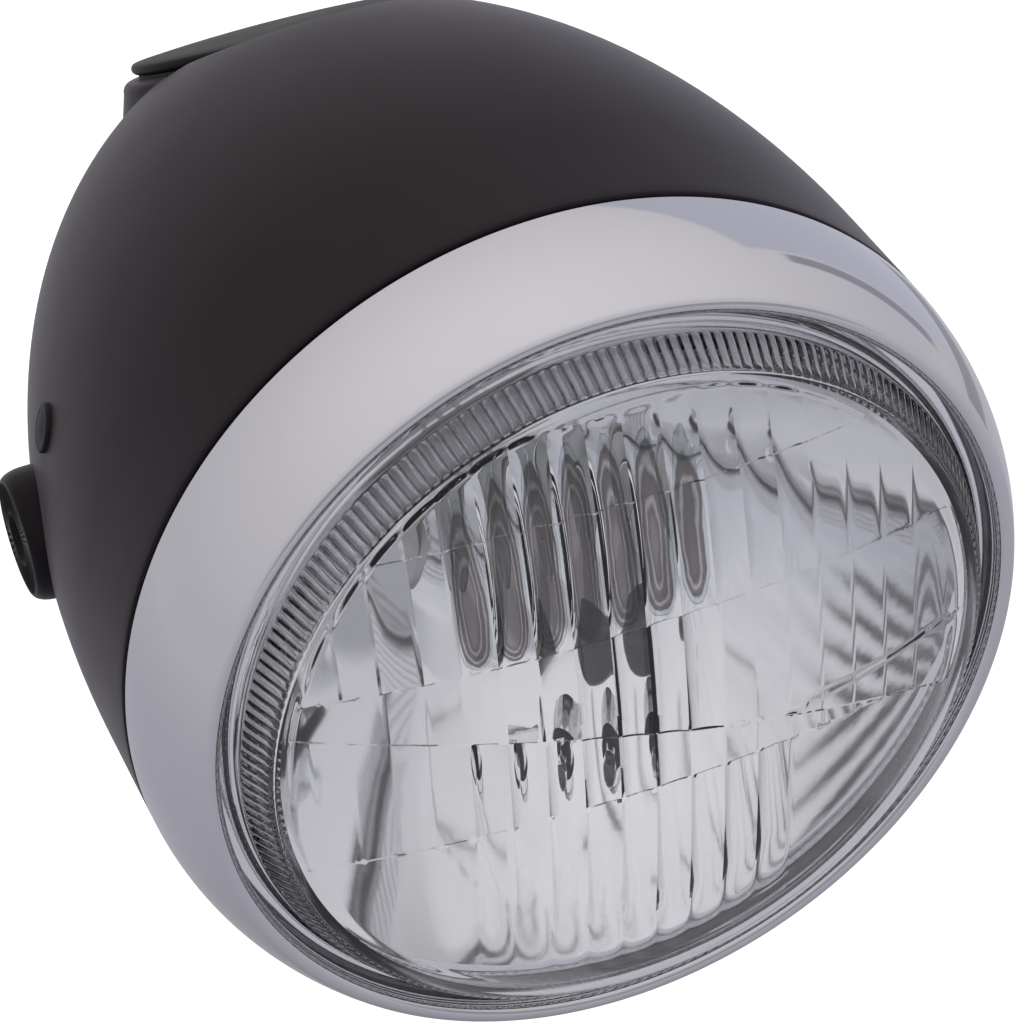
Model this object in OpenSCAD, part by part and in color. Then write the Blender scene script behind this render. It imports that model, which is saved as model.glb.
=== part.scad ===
// Round motorcycle headlight with a deep bowl shell, chromed rim and fluted glass lens.
// Millimetres. The beam points along -Y and +Z is up. The origin is midway between the two
// threaded side bosses that a fork ear or bracket holds. Stations "b" are distances behind the
// back edge of the rim, measured along the beam axis, and are negative in front of it.

/* [Rim] */
// Diameter of the rim and of the shell's mouth
rim_d = 190; // [176:1:204]
// Depth of the rim from its back edge to its nose
rim_depth = 26.5; // [24:0.5:30]
// Radius of the rim's crown in section
rim_crown_r = 50; // [42:1:70]
// Radius of the rolled nose in section
nose_r = 2.2; // [1.8:0.1:2.8]
// Length of the lip behind the rolled nose
lip_back = 1.1; // [0.6:0.1:1.6]
// Thickness of the rim's sheet
rim_sheet = 0.9; // [0.7:0.1:1.2]
// Width of the flange turned in at the back of the rim
rim_return_w = 4.6; // [4:0.2:6]

/* [Shell] */
// Wall of the shell
wall = 1.8; // [1.4:0.1:2.6]
// Straight length of the shell behind its mouth
shell_straight = 29.5; // [20:0.5:40]
// Length of the shell's elliptical dome
shell_dome = 161; // [150:1:176]
// Diameter of the flat spot at the back of the shell
rear_flat_d = 40; // [38:1:46]
// Width of the lip turned in at the shell's mouth
mouth_lip_w = 5.2; // [4.4:0.2:6]

/* [Instrument seat] */
// Distance of the seat's centre in front of the shell's back
seat_inset = 29.9; // [28:0.1:35]
// Depth of the seat's centre below the shell's surface
seat_drop = 7.1; // [6:0.1:8.6]
// Tilt of the seat towards the rider
seat_tilt = 28.3; // [25:0.1:31]
// Width of the seat's top outside the cover
seat_ledge = 3; // [2.4:0.1:3.6]
// Rounding of the seat's top edge
seat_edge_r = 2.4; // [1:0.2:3.4]
// Outward growth of the seat's wall for each millimetre down
seat_draft = 0.3; // [0.15:0.05:0.45]
// Height of the scoop's upright step round the seat
scoop_step = 2.2; // [1:0.1:3]
// Outward growth of the scoop for each millimetre above its step
scoop_slope = 3.4; // [2.6:0.1:4]
// Diameter of the instrument hole
seat_hole_d = 62; // [58:1:63]

/* [Instrument cover] */
// Overlap of the blanking cover round the instrument hole
cover_lap = 5; // [4:0.1:5.6]
// Thickness of the cover at its rounded edge
cover_edge_t = 2.6; // [2.2:0.1:3.4]
// Rise of the cover's crown above its edge
cover_crown = 1.4; // [0.8:0.2:3]
// Depth of the cover's spigot below the seat's face
cover_spigot = 5; // [4:0.5:6.5]
// Thickness of the cover's seal
cover_seal_t = 0.8; // [0.6:0.1:1.2]
// Diameter of the cover's stud
stud_d = 6; // [5:0.5:8]

/* [Lens and reflector] */
// Thickness of the glass
glass_t = 4; // [3:0.2:4.6]
// Width of the lens flange under the rim's lip
flange_overlap = 2; // [1.4:0.1:2.2]
// Width of the lens flange that shows inside the rim
flange_show = 3.1; // [2:0.1:4]
// Diameter of the lens face at its edge
lens_face_d = 153; // [148:1:154]
// Height of the fluted wall of the lens
lens_wall_h = 9.8; // [8:0.2:12]
// Rise of the lens dome
lens_dome_h = 9.6; // [6:0.2:13]
// Number of flutes round the wall of the lens
flute_n = 210; // [120:5:240]
// Radius of each flute
flute_r = 1.0; // [0.8:0.05:1.2]
// Depth of each flute
flute_depth = 0.5; // [0.3:0.05:0.6]
// Pitch of the upright prisms inside the lens
prism_pitch = 8; // [6:0.5:12]
// Height of the prism ribs inside the lens
prism_h = 0.8; // [0.5:0.1:1.2]
// Focal length of the reflector
focal = 27; // [25:0.5:29]
// Thickness of the reflector's sheet
mirror_t = 1; // [0.8:0.1:1.2]
// Thickness of the lens gasket
gasket_t = 1.5; // [1:0.1:2]
// Width of the lens gasket, which stays under the rim's lip
gasket_w = 2; // [1.5:0.25:4]

/* [Bulb] */
// Diameter of the bulb's glass
bulb_d = 17; // [15:0.5:19]
// Length of the bulb in front of its flange
bulb_len = 54; // [48:1:58]
// Diameter of the bulb's flange
bulb_flange_d = 43; // [41:0.5:45]
// Thickness of the bulb's flange
bulb_flange_t = 1.2; // [1:0.1:1.6]
// Distance of the pilot lamp below the beam axis
pilot_r = 48; // [44:1:52]
// Diameter of the pilot lamp's socket
pilot_d = 12; // [10:0.5:13]

/* [Side mounts] */
// Setback of the side mounts behind the rim
boss_setback = 74; // [66:1:84]
// Diameter of each side boss
boss_d = 29; // [27:0.5:32]
// Height of each boss above the shell's surface
boss_out = 5; // [4:0.2:8]
// Diameter of the serrated face
serration_d = 24.6; // [22:0.2:26]
// Number of serrations
serration_n = 48; // [24:4:60]
// Depth of the serrations
serration_h = 0.7; // [0.4:0.1:1]
// Diameter of the mounting thread
thread_d = 10; // [8:0.5:10]
// Diameter of the boss's own shank
shank_d = 16; // [14:0.5:18]
// Length of the shank inside the shell's pad
shank_in = 13; // [11:0.5:16]
// Thickness of the shell's pad behind each boss
pad_t = 4; // [3:0.2:6]
// Thickness of the nut on each shank
boss_nut_t = 6; // [5:0.5:8]
// Width across flats of that nut
boss_nut_af = 24; // [21:0.5:26]
// Thickness of the washer under that nut
boss_washer_t = 1.6; // [1.2:0.1:2.2]

/* [Small parts] */
// Diameter of the side plug's head
plug_d = 10.6; // [9:0.2:13]
// Thickness of the side plug's head
plug_t = 1.3; // [1:0.1:2.2]
// Setback of the side plug behind the rim
plug_back = 69; // [62:1:76]
// Angle of the side plug above the horizontal
plug_angle = 18.7; // [17:0.1:30]
// Diameter of the cable hole through the grommet
cable_d = 14; // [10:0.5:16]
// Diameter of the shell's hole for the grommet
grommet_hole_d = 24; // [22:0.5:25]
// Distance of the grommet below the beam axis
grommet_drop = 3; // [2.5:0.1:3.5]
// Width of the rim's tongue and bracket
tab_w = 16; // [12:1:20]
// Thickness of the tongue's and bracket's sheet
tab_t = 1; // [0.8:0.1:1.4]
// Diameter of the rim screw
rim_screw_d = 5; // [4:0.5:6]
// Station of the rim screw behind the rim
rim_screw_b = 10; // [9:0.5:14]
// Number of clips that hold the reflector in the rim
clip_n = 4; // [3:1:6]
// Width of each clip
clip_w = 12; // [8:1:16]

/* [Hidden] */
$fn = 96;
fit = 0.15;       // free play between pieces that seat on each other
curve_n = 36;     // steps in a long curved outline
arc_n = 12;       // steps in a small rounding

// Rim, from its back edge at b = 0 forwards
rim_r = rim_d / 2;
crown_c = rim_r - rim_crown_r;
nose_b = -(rim_depth - nose_r);
crown_end = asin(-nose_b / rim_crown_r);
nose_c = crown_c + rim_crown_r * cos(crown_end) - nose_r;
opening_r = nose_c - nose_r;
rim_return_r = rim_r - rim_return_w;

// Lens, gasket and reflector stack, each seated on the one in front
lens_b = nose_b + lip_back + fit;
lens_back_b = lens_b + glass_t;
flange_r = opening_r + flange_overlap;
wall_base_r = opening_r - flange_show;
face_r = lens_face_d / 2;
face_b = lens_b - lens_wall_h;
dome_r = (face_r * face_r + lens_dome_h * lens_dome_h) / (2 * lens_dome_h);
apex_b = face_b - lens_dome_h;
wall_lean = atan2(wall_base_r - face_r, lens_wall_h);
wall_len = norm([wall_base_r - face_r, lens_wall_h]);
inner_r = wall_base_r - glass_t;
gasket_b = lens_back_b + fit;
mirror_b = gasket_b + gasket_t + fit;
mirror_back_b = mirror_b + mirror_t;
mirror_mouth_r = inner_r;
vertex_b = mirror_b + mirror_mouth_r * mirror_mouth_r / (4 * focal);

// Bulb socket at the back of the reflector
bulb_hole_r = bulb_flange_d / 2 - 3;
bulb_seat_b = mirror_depth_b(bulb_hole_r) + mirror_t;
collar_r = bulb_flange_d / 2 + 2 * fit;
collar_len = 7;
bulb_b = bulb_seat_b + mirror_t + fit;
bulb_tip_r = 4;
bulb_cup_r = bulb_hole_r - 2;
bulb_cup_len = 4;
bulb_cup_slope = 2;
ring_b = bulb_b + bulb_flange_t + fit;
ring_t = 2.4;
ring_lug = 12;
lug_angles = [30, 150, 270];
base_r = bulb_flange_d / 2 - 5;
base_len = 11;
blade_r = 8;
blade_w = 8;
blade_t = 0.8;
blade_len = 9;
boot_grip_r = collar_r + mirror_t + fit;
boot_wall = 1.8;
boot_front = 1;
boot_step_b = bulb_seat_b + collar_len + 2;
boot_neck = 5;
boot_end_b = bulb_b + base_len + 8;
boot_hole_r = base_r - 4;

// Pilot lamp below the bulb
pilot_b = mirror_depth_b(pilot_r);
pilot_sleeve_b = pilot_b + 12;
pilot_wall = 1.2;
pilot_front_b = mirror_depth_b(pilot_r + pilot_d / 2) - 1;
pilot_lip = 2.5;
pilot_tail = 12;
pilot_glass_r = 4;
pilot_glass_len = 9;
pilot_cap_r = pilot_d / 4;
pilot_cap_len = 7.8;

// Shell and its seat
shell_r = rim_r;
seal_gap = 1.6;                     // room for the seal between rim and shell
mouth_b = seal_gap;
rear_angle = acos(rear_flat_d / 2 / shell_r);
rear_b = shell_straight + shell_dome * sin(rear_angle);
mouth_r = shell_r - mouth_lip_w;
seat_back = rear_b - seat_inset;
seat_z = shell_r_at(seat_back) - seat_drop;
seat_y = seat_back - boss_setback;
cover_r = seat_hole_d / 2 + cover_lap;
seat_r = cover_r + seat_ledge;
seat_reach = seat_r;                // how far the seat's block and its scoop run into and out of the bowl
scoop_r = seat_r + 0.5;
scoop_skew = norm([1, scoop_slope]);
spigot_r = seat_hole_d / 2 - 2 * fit;
spigot_wall = 2;
bridge_foot = 3;
bridge_drop = 9;
bridge_t = 2;
bridge_w = 14;
bridge_r = seat_hole_d / 2 + 3.4;
cover_nut_t = 5;
nut_play = 0.05;                    // a nut's bore over its thread, on the radius
screw_play = 0.25;                  // a clearance hole over its screw, on the radius

// Side bosses
boss_r = boss_d / 2;
pad_r = boss_r + 1.6;
boss_seat_x = shell_r_at(boss_setback + pad_r) - 0.3;
boss_face_x = shell_r_at(boss_setback) + boss_out;
pad_in_x = boss_seat_x - pad_t;
shank_end_x = pad_in_x - shank_in;
hole_play = 0.2;

serration_r = thread_d / 2 + 1;
serration_w = serration_r * sin(180 / serration_n) * 0.94;

// Side plug, square to the shell's surface
plug_lean = atan(shell_slope_at(plug_back));
plug_sink = 0.4;
plug_stem_r = plug_d / 2 - 1.3;
plug_stem = 6;
plug_edge = 0.5;
plug_crown = 0.4;

// Rim tongue, bracket and screw
tab_r = mouth_r - 1.2;
tab_top_r = rim_r - 2.2;
hook_b = mouth_b + wall + fit;
hook_r = mouth_r + 1.8;
nut_af = 1.7 * rim_screw_d;
nut_t = 0.8 * rim_screw_d;
head_r = rim_screw_d;
head_t = 2.8;
head_edge = 1.2;
head_sink = 0.3;
slot_w = 1.2;
slot_depth = 1.2;
screw_end_r = tab_r - tab_t - nut_t - 2;
screw_seat_r = shell_r - head_sink + fit;
bracket_end_b = rim_screw_b + rim_screw_d + 1;

// Clips between the reflector's flange and the rim's return flange
clip_t = 1;
clip_foot = 4;
clip_top_r = rim_r - 2;
clip_top = 3.5;

// Cable grommet
grommet_r = grommet_hole_d / 2;
grommet_lip = 3.6;
grommet_lip_t = 2.6;
grommet_edge = 1;
grommet_out = 7;
grommet_in = 3;
grommet_neck = 3;
grommet_clear = 0.6;                // room round the grommet's lip beside the seat

function shell_r_at(b) =
  b <= shell_straight ? shell_r
  : shell_r * sqrt(max(0, 1 - pow((b - shell_straight) / shell_dome, 2)));

// Fall of the shell's radius for each millimetre towards the back
function shell_slope_at(b) =
  b <= shell_straight ? 0
  : pow(shell_r / shell_dome, 2) * (b - shell_straight) / shell_r_at(b);

// Station of the reflecting surface at a radius from the beam axis
function mirror_depth_b(r) = vertex_b - r * r / (4 * focal);

// Points of the bowl's outline, shrunk by t, from the mouth to the flat spot
function bowl_pts(t) = [
  for (i = [0 : curve_n])
    let (a = rear_angle * i / curve_n)
    [(shell_r - t) * cos(a), shell_straight + (shell_dome - t) * sin(a)]
];

function arc_pts(cx, cy, r, a0, a1, n = arc_n) =
  [for (i = [0 : n]) let (a = a0 + (a1 - a0) * i / n) [cx + r * cos(a), cy + r * sin(a)]];

// Points of a spherical dome about the beam axis, from its edge to its apex
function dome_pts(r_edge, r_dome, b_centre) = [
  for (i = [0 : curve_n / 2])
    let (r = r_edge * (1 - 2 * i / curve_n))
    [r, b_centre - sqrt(r_dome * r_dome - r * r)]
];

// Points of the parabola, t outside its reflecting face, from radius r0 to r1
function parabola_pts(r0, r1, t) = [
  for (i = [0 : curve_n])
    let (r = r0 + (r1 - r0) * i / curve_n, s = r / (2 * focal), k = t / norm([1, s]))
    [r + k * s, mirror_depth_b(r) + k]
];

// Stands a child's Z axis along the beam axis, with z = 0 at the rim's back edge
module along_beam() translate([0, -boss_setback, 0]) rotate([-90, 0, 0]) children();

// Stands a child's Z axis along the grommet's axis, with z = 0 at the shell's rear face
module at_grommet() along_beam() translate([0, grommet_drop, rear_b]) children();

// Turns a section drawn as (radius, b) into a strip of width w across that radius
module strip(w) rotate([90, 0, 0]) linear_extrude(w, center = true) children();

// Puts a child on the instrument seat, with its Z axis square to the seat
module on_seat() translate([0, seat_y, seat_z]) rotate([-seat_tilt, 0, 0]) children();

// Lays a child's Z axis along +X from the origin, or along -X for side = -1
module sideways(side) rotate([0, 90 * side, 0]) children();

// Stands a child's Z axis on the rim screw's axis, from the beam axis straight down
module at_rim_screw() along_beam() translate([0, 0, rim_screw_b]) rotate([-90, 0, 0]) children();

// Stands a child on the shell at the side plug, with its Z axis square to the surface
module at_plug()
  translate([0, plug_back - boss_setback, 0]) rotate([0, plug_angle - 90, 0])
    translate([0, 0, shell_r_at(plug_back)]) rotate([-plug_lean, 0, 0]) children();

module hexagon(af, t) cylinder(h = t, r = af / 2 / cos(30), $fn = 6);

module ring(r_out, r_in, t) difference() {
  cylinder(h = t, r = r_out);
  translate([0, 0, -1]) cylinder(h = t + 2, r = r_in);
}

module bowl(t) along_beam() rotate_extrude()
  polygon(concat([[0, mouth_b + t], [shell_r - t, mouth_b + t]], bowl_pts(t), [[0, rear_b - t]]));

// Raised seat, shrunk by t, with its top at z = 0
module seat_block(t) rotate_extrude()
  polygon(concat(
    [[0, 0]],
    arc_pts(seat_r - t - seat_edge_r, -seat_edge_r, seat_edge_r, 90, 0),
    [[seat_r - t + seat_draft * (seat_reach - seat_edge_r), -seat_reach], [0, -seat_reach]]));

// Scoop that opens the seat out of the shell's crown, grown by t: a short upright step, then a
// shallow cone up to the crest
module scoop(t) rotate_extrude() polygon([
  [0, -t], [scoop_r + t, -t], [scoop_r + t, scoop_step - t * (scoop_skew - 1) / scoop_slope],
  [scoop_r + scoop_slope * (seat_reach - scoop_step) + t * scoop_skew, seat_reach], [0, seat_reach]
]);

// Shell shape shrunk by t, with the seat standing out of it and the scoop taken away
module shell_form(t) difference() {
  union() {
    bowl(t);
    on_seat() seat_block(t);
  }
  on_seat() scoop(t);
}

module shell() color([0.09, 0.09, 0.1]) difference() {
  union() {
    difference() {
      shell_form(0);
      shell_form(wall);
    }
    for (side = [-1, 1]) intersection() {
      bowl(0);
      sideways(side) translate([0, 0, pad_in_x]) cylinder(h = shell_r, r = pad_r);
    }
  }
  along_beam() translate([0, 0, mouth_b - 1]) cylinder(h = wall + 2, r = mouth_r);
  on_seat() translate([0, 0, -wall - 1]) cylinder(h = wall + 2, r = seat_hole_d / 2);
  for (side = [-1, 1]) sideways(side) {
    translate([0, 0, boss_seat_x]) cylinder(h = shell_r, r = boss_r + fit);
    translate([0, 0, pad_in_x - 1]) cylinder(h = pad_t + 2, r = shank_d / 2 + hole_play);
  }
  at_plug() {
    translate([0, 0, -plug_sink]) cylinder(h = 2 * plug_t, r = plug_d / 2 + fit);
    translate([0, 0, -2 * wall]) cylinder(h = 3 * wall, r = plug_stem_r + fit);
  }
  at_grommet() {
    translate([0, 0, -2 * wall]) cylinder(h = 3 * wall, r = grommet_r);
    cylinder(h = seat_reach, r = grommet_r + grommet_lip + grommet_clear);
  }
  at_rim_screw() {
    translate([0, 0, shell_r - 2 * wall]) cylinder(h = 3 * wall, r = rim_screw_d / 2 + screw_play);
    translate([0, 0, shell_r - head_sink]) cylinder(h = wall, r = head_r + screw_play);
  }
}

module instrument_cover() color([0.11, 0.11, 0.12]) on_seat() translate([0, 0, cover_seal_t + 2 * fit])
  rotate_extrude() polygon(concat(
    [[0, -stud_end()], [stud_d / 2, -stud_end()], [stud_d / 2, -cover_seal_t]],
    [[spigot_r - spigot_wall, -cover_seal_t], [spigot_r - spigot_wall, -cover_spigot]],
    [[spigot_r, -cover_spigot], [spigot_r, 0]],
    arc_pts(cover_r - cover_edge_t / 2, cover_edge_t / 2, cover_edge_t / 2, -90, 60),
    [for (i = [1 : arc_n]) let (u = 1 - i / arc_n)
      [(cover_r - cover_edge_t) * u, cover_edge_t + cover_crown * (1 - u * u)]]));

// Reach of the cover's stud below the cover's underside
function stud_end() = cover_seal_t + wall + bridge_drop + bridge_t + cover_nut_t + 3;

module cover_seal() color([0.05, 0.05, 0.05]) on_seat() translate([0, 0, fit])
  ring(cover_r - cover_edge_t / 2, seat_hole_d / 2, cover_seal_t);

module cover_bridge() color([0.7, 0.7, 0.68]) on_seat() translate([0, 0, -wall - fit]) difference() {
  union() {
    translate([-bridge_r, -bridge_w / 2, -bridge_drop - bridge_t])
      cube([2 * bridge_r, bridge_w, bridge_t]);
    for (x = [-bridge_r, bridge_r - bridge_foot])
      translate([x, -bridge_w / 2, -bridge_drop - bridge_t])
        cube([bridge_foot, bridge_w, bridge_drop + bridge_t]);
  }
  translate([0, 0, -bridge_drop - bridge_t - 1]) cylinder(h = bridge_t + 2, r = stud_d / 2 + screw_play);
}

module cover_nut() color([0.75, 0.75, 0.72]) on_seat()
  translate([0, 0, -wall - 2 * fit - bridge_drop - bridge_t - cover_nut_t]) difference() {
    hexagon(1.7 * stud_d, cover_nut_t);
    translate([0, 0, -1]) cylinder(h = cover_nut_t + 2, r = stud_d / 2 + nut_play);
  }

module rim() color([0.82, 0.82, 0.85]) along_beam() rotate_extrude() polygon(concat(
  [[rim_return_r, 0]],
  [for (i = [0 : arc_n]) let (a = crown_end * i / arc_n)
    [crown_c + rim_crown_r * cos(a), -rim_crown_r * sin(a)]],
  arc_pts(nose_c, nose_b, nose_r, 0, -180),
  [[opening_r, nose_b + lip_back], [opening_r + rim_sheet, nose_b + lip_back]],
  arc_pts(nose_c, nose_b, nose_r - rim_sheet, -180, 0),
  [for (i = [arc_n : -1 : 0])
    let (r = rim_crown_r - rim_sheet, a0 = asin(rim_sheet / r), a = a0 + (crown_end - a0) * i / arc_n)
    [crown_c + r * cos(a), -r * sin(a)]],
  [[rim_return_r, -rim_sheet]]));

module rim_seal() color([0.03, 0.03, 0.03]) along_beam() translate([0, 0, fit])
  ring(shell_r - 1.1, rim_return_r + 0.4, seal_gap - 2 * fit);

// Sheet tab on the front of the rim's return flange, bent back through the shell's mouth
module rim_tab_section(end_b) {
  flange_b = -rim_sheet - fit;
  polygon([
    [tab_top_r, flange_b], [tab_top_r, flange_b - tab_t], [tab_r - tab_t, flange_b - tab_t],
    [tab_r - tab_t, end_b], [tab_r, end_b], [tab_r, flange_b]
  ]);
}

module rim_tongue() color([0.7, 0.7, 0.68]) along_beam() rotate([0, 0, -90]) strip(tab_w) {
  rim_tab_section(hook_b + tab_t);
  polygon([
    [tab_r - tab_t, hook_b], [tab_r - tab_t, hook_b + tab_t],
    [hook_r, hook_b + tab_t], [hook_r, hook_b]
  ]);
}

module rim_bracket() color([0.7, 0.7, 0.68]) difference() {
  along_beam() rotate([0, 0, 90]) strip(tab_w) rim_tab_section(bracket_end_b);
  at_rim_screw() translate([0, 0, tab_r - 2 * tab_t])
    cylinder(h = 3 * tab_t, r = rim_screw_d / 2 + screw_play);
}

module rim_nut() color([0.75, 0.75, 0.72]) at_rim_screw()
  translate([0, 0, tab_r - tab_t - fit - nut_t]) difference() {
    hexagon(nut_af, nut_t);
    translate([0, 0, -1]) cylinder(h = nut_t + 2, r = rim_screw_d / 2 + nut_play);
  }

module rim_screw() color([0.75, 0.75, 0.72]) at_rim_screw() difference() {
  union() {
    translate([0, 0, screw_end_r]) cylinder(h = screw_seat_r - screw_end_r, r = rim_screw_d / 2);
    translate([0, 0, screw_seat_r]) rotate_extrude() polygon(concat(
      [[0, 0], [head_r, 0]],
      arc_pts(head_r - head_edge, head_edge, head_edge, 0, 90),
      [[0, head_t]]));
  }
  translate([-slot_w / 2, -2 * head_r, screw_seat_r + head_t - slot_depth])
    cube([slot_w, 4 * head_r, 2 * slot_depth]);
}

// Spring clips from the back of the reflector's flange to the rim's return flange
module rim_clips() color([0.6, 0.6, 0.62]) along_beam() for (i = [0 : clip_n - 1])
  rotate([0, 0, 360 / clip_n * (i + 0.5)]) strip(clip_w) {
    foot_b = mirror_back_b + fit;
    top_b = -rim_sheet - fit;
    polygon([
      [flange_r - clip_foot, foot_b], [flange_r, foot_b],
      [clip_top_r, top_b - 2 * clip_t], [clip_top_r, top_b],
      [clip_top_r - clip_top, top_b], [clip_top_r - clip_top, top_b - clip_t],
      [clip_top_r - 1.2 * clip_t, top_b - 1.6 * clip_t],
      [flange_r - 0.6 * clip_t, foot_b + clip_t], [flange_r - clip_foot, foot_b + clip_t]
    ]);
  }

// Layer just inside the lens dome, in which the prism ribs stand
module prism_layer() along_beam() rotate_extrude() {
  centre = apex_b + dome_r;
  edge = inner_r - glass_t;
  polygon(concat(
    dome_pts(edge, dome_r - glass_t + 0.4, centre),
    [for (i = [curve_n / 2 : -1 : 0]) dome_pts(edge, dome_r - glass_t - prism_h, centre)[i]]));
}

module prism_ribs() intersection() {
  prism_layer();
  union() {
    for (x = [prism_pitch / 2 : prism_pitch : face_r], side = [-1, 1])
      translate([side * x - 0.3, -boss_setback + apex_b, -face_r])
        cube([0.6, rim_depth, 2 * face_r]);
    for (z = [-0.55, -0.2, 0.25])
      translate([-face_r, -boss_setback + apex_b, z * face_r - 0.5]) cube([2 * face_r, rim_depth, 1]);
  }
}

module lens() color([0.75, 0.82, 0.8]) {
  difference() {
    along_beam() rotate_extrude() polygon(concat(
      [[inner_r, lens_back_b], [flange_r, lens_back_b], [flange_r, lens_b], [wall_base_r, lens_b]],
      dome_pts(face_r, dome_r, apex_b + dome_r),
      [for (i = [curve_n / 2 : -1 : 0])
        dome_pts(inner_r - glass_t, dome_r - glass_t, apex_b + dome_r)[i]]));
    along_beam() for (i = [0 : flute_n - 1])
      rotate([0, 0, 360 / flute_n * i])
        translate([(wall_base_r + face_r) / 2 + flute_r - flute_depth, 0, (lens_b + face_b) / 2])
          rotate([0, wall_lean, 0]) cylinder(h = wall_len - 1.6, r = flute_r, center = true, $fn = 16);
  }
  prism_ribs();
}

module lens_gasket() color([0.05, 0.05, 0.05]) along_beam() translate([0, 0, gasket_b])
  ring(flange_r, flange_r - gasket_w, gasket_t);

module reflector() color([0.85, 0.86, 0.88]) along_beam() difference() {
  union() {
    rotate_extrude() polygon(concat(
      [[bulb_hole_r, bulb_seat_b + mirror_t], [bulb_hole_r, bulb_seat_b - mirror_t]],
      parabola_pts(bulb_hole_r, mirror_mouth_r, 0),
      [[flange_r, mirror_b], [flange_r, mirror_back_b], [mirror_mouth_r + 1.2, mirror_back_b]],
      [for (i = [curve_n : -1 : 4]) parabola_pts(bulb_hole_r, mirror_mouth_r, mirror_t)[i]],
      [[collar_r + mirror_t, bulb_seat_b], [collar_r + mirror_t, bulb_seat_b + collar_len]],
      [[collar_r, bulb_seat_b + collar_len], [collar_r, bulb_seat_b + mirror_t]]));
    translate([0, pilot_r, pilot_b]) cylinder(h = pilot_sleeve_b - pilot_b, r = pilot_d / 2 + pilot_wall);
  }
  translate([0, pilot_r, pilot_front_b - 5])
    cylinder(h = pilot_sleeve_b - pilot_front_b + 6, r = pilot_d / 2);
  for (a = lug_angles) rotate([0, 0, a])
    translate([collar_r - 1, -ring_lug / 2 - fit, ring_b - fit])
      cube([mirror_t + 3, ring_lug + 2 * fit, collar_len]);
}

module bulb() color([0.85, 0.87, 0.9, 0.8]) along_beam() union() {
  rotate_extrude() polygon(concat(
    [[0, bulb_b - bulb_len]],
    arc_pts(bulb_d / 2 - bulb_tip_r, bulb_b - bulb_len + bulb_tip_r, bulb_tip_r, -90, 0),
    [[bulb_d / 2, bulb_b - bulb_cup_len - bulb_cup_slope], [bulb_cup_r, bulb_b - bulb_cup_len]],
    [[bulb_cup_r, bulb_b]],
    [[bulb_flange_d / 2, bulb_b], [bulb_flange_d / 2, bulb_b + bulb_flange_t]],
    [[base_r, bulb_b + bulb_flange_t], [base_r, bulb_b + base_len], [0, bulb_b + base_len]]));
  for (a = [0, 90, 180]) rotate([0, 0, a]) translate([blade_r, -blade_w / 2, bulb_b + base_len - 1])
    cube([blade_t, blade_w, blade_len + 1]);
}

module bulb_lock_ring() color([0.6, 0.6, 0.62]) along_beam() translate([0, 0, ring_b]) {
  ring(collar_r - fit, base_r + 0.6, ring_t);
  for (a = lug_angles) rotate([0, 0, a]) intersection() {
    translate([collar_r - 2, -ring_lug / 2, 0]) cube([mirror_t + 4, ring_lug, ring_t]);
    cylinder(h = ring_t, r = collar_r + mirror_t);
  }
}

module bulb_boot() color([0.06, 0.06, 0.06]) along_beam() rotate_extrude() polygon([
  [boot_grip_r, bulb_seat_b + boot_front], [boot_grip_r + boot_wall, bulb_seat_b + boot_front],
  [boot_grip_r + boot_wall, boot_step_b], [base_r + boot_wall, boot_step_b + boot_neck],
  [base_r, boot_end_b], [boot_hole_r, boot_end_b], [boot_hole_r, boot_end_b - boot_wall],
  [base_r - boot_wall, boot_end_b - boot_wall], [base_r + 2 * fit, boot_step_b + boot_neck - 0.5],
  [boot_grip_r, boot_step_b - 1]
]);

module pilot_holder() color([0.08, 0.08, 0.08]) along_beam() translate([0, pilot_r, 0]) difference() {
  rotate_extrude() polygon([
    [0, pilot_front_b], [pilot_d / 2 - fit, pilot_front_b],
    [pilot_d / 2 - fit, pilot_sleeve_b + fit], [pilot_d / 2 + pilot_lip, pilot_sleeve_b + fit],
    [pilot_d / 2 + pilot_lip, pilot_sleeve_b + 2], [pilot_d / 2 - 0.5, pilot_sleeve_b + 3],
    [pilot_d / 2 - 1, pilot_sleeve_b + pilot_tail], [0, pilot_sleeve_b + pilot_tail]
  ]);
  translate([0, 0, pilot_front_b - 1]) cylinder(h = pilot_cap_len + 1 + fit, r = pilot_cap_r + fit);
}

module pilot_bulb() color([0.9, 0.9, 0.85, 0.8]) along_beam() translate([0, pilot_r, pilot_front_b])
  rotate_extrude() polygon(concat(
    [[0, -pilot_glass_len]],
    arc_pts(0, pilot_glass_r - pilot_glass_len, pilot_glass_r, -90, 40),
    [[pilot_cap_r, -1], [pilot_cap_r, pilot_cap_len], [0, pilot_cap_len]]));

// Threaded boss with a serrated face, drawn with its Z axis pointing out of the lamp
module side_boss() difference() {
  rotate_extrude() polygon(concat(
    [[thread_d / 2, shank_end_x], [shank_d / 2 - 1, shank_end_x], [shank_d / 2, shank_end_x + 1]],
    [[shank_d / 2, boss_seat_x + fit], [boss_r, boss_seat_x + fit]],
    [for (i = [0 : arc_n]) let (a = 90 * i / arc_n)
      [serration_d / 2 + (boss_r - serration_d / 2) * cos(a), boss_face_x - boss_out * (1 - sin(a))]],
    [[thread_d / 2, boss_face_x]]));
  for (i = [0 : serration_n - 1]) rotate([0, 0, 360 / serration_n * i])
    translate([serration_r, 0, boss_face_x]) rotate([90, 0, 90])
      linear_extrude((serration_d - thread_d) / 2)
        polygon([[0, -serration_h], [serration_w, 0.1], [-serration_w, 0.1]]);
}

module boss_washer() translate([0, 0, pad_in_x - fit - boss_washer_t])
  ring(boss_r - 1, shank_d / 2 + hole_play, boss_washer_t);

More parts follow.
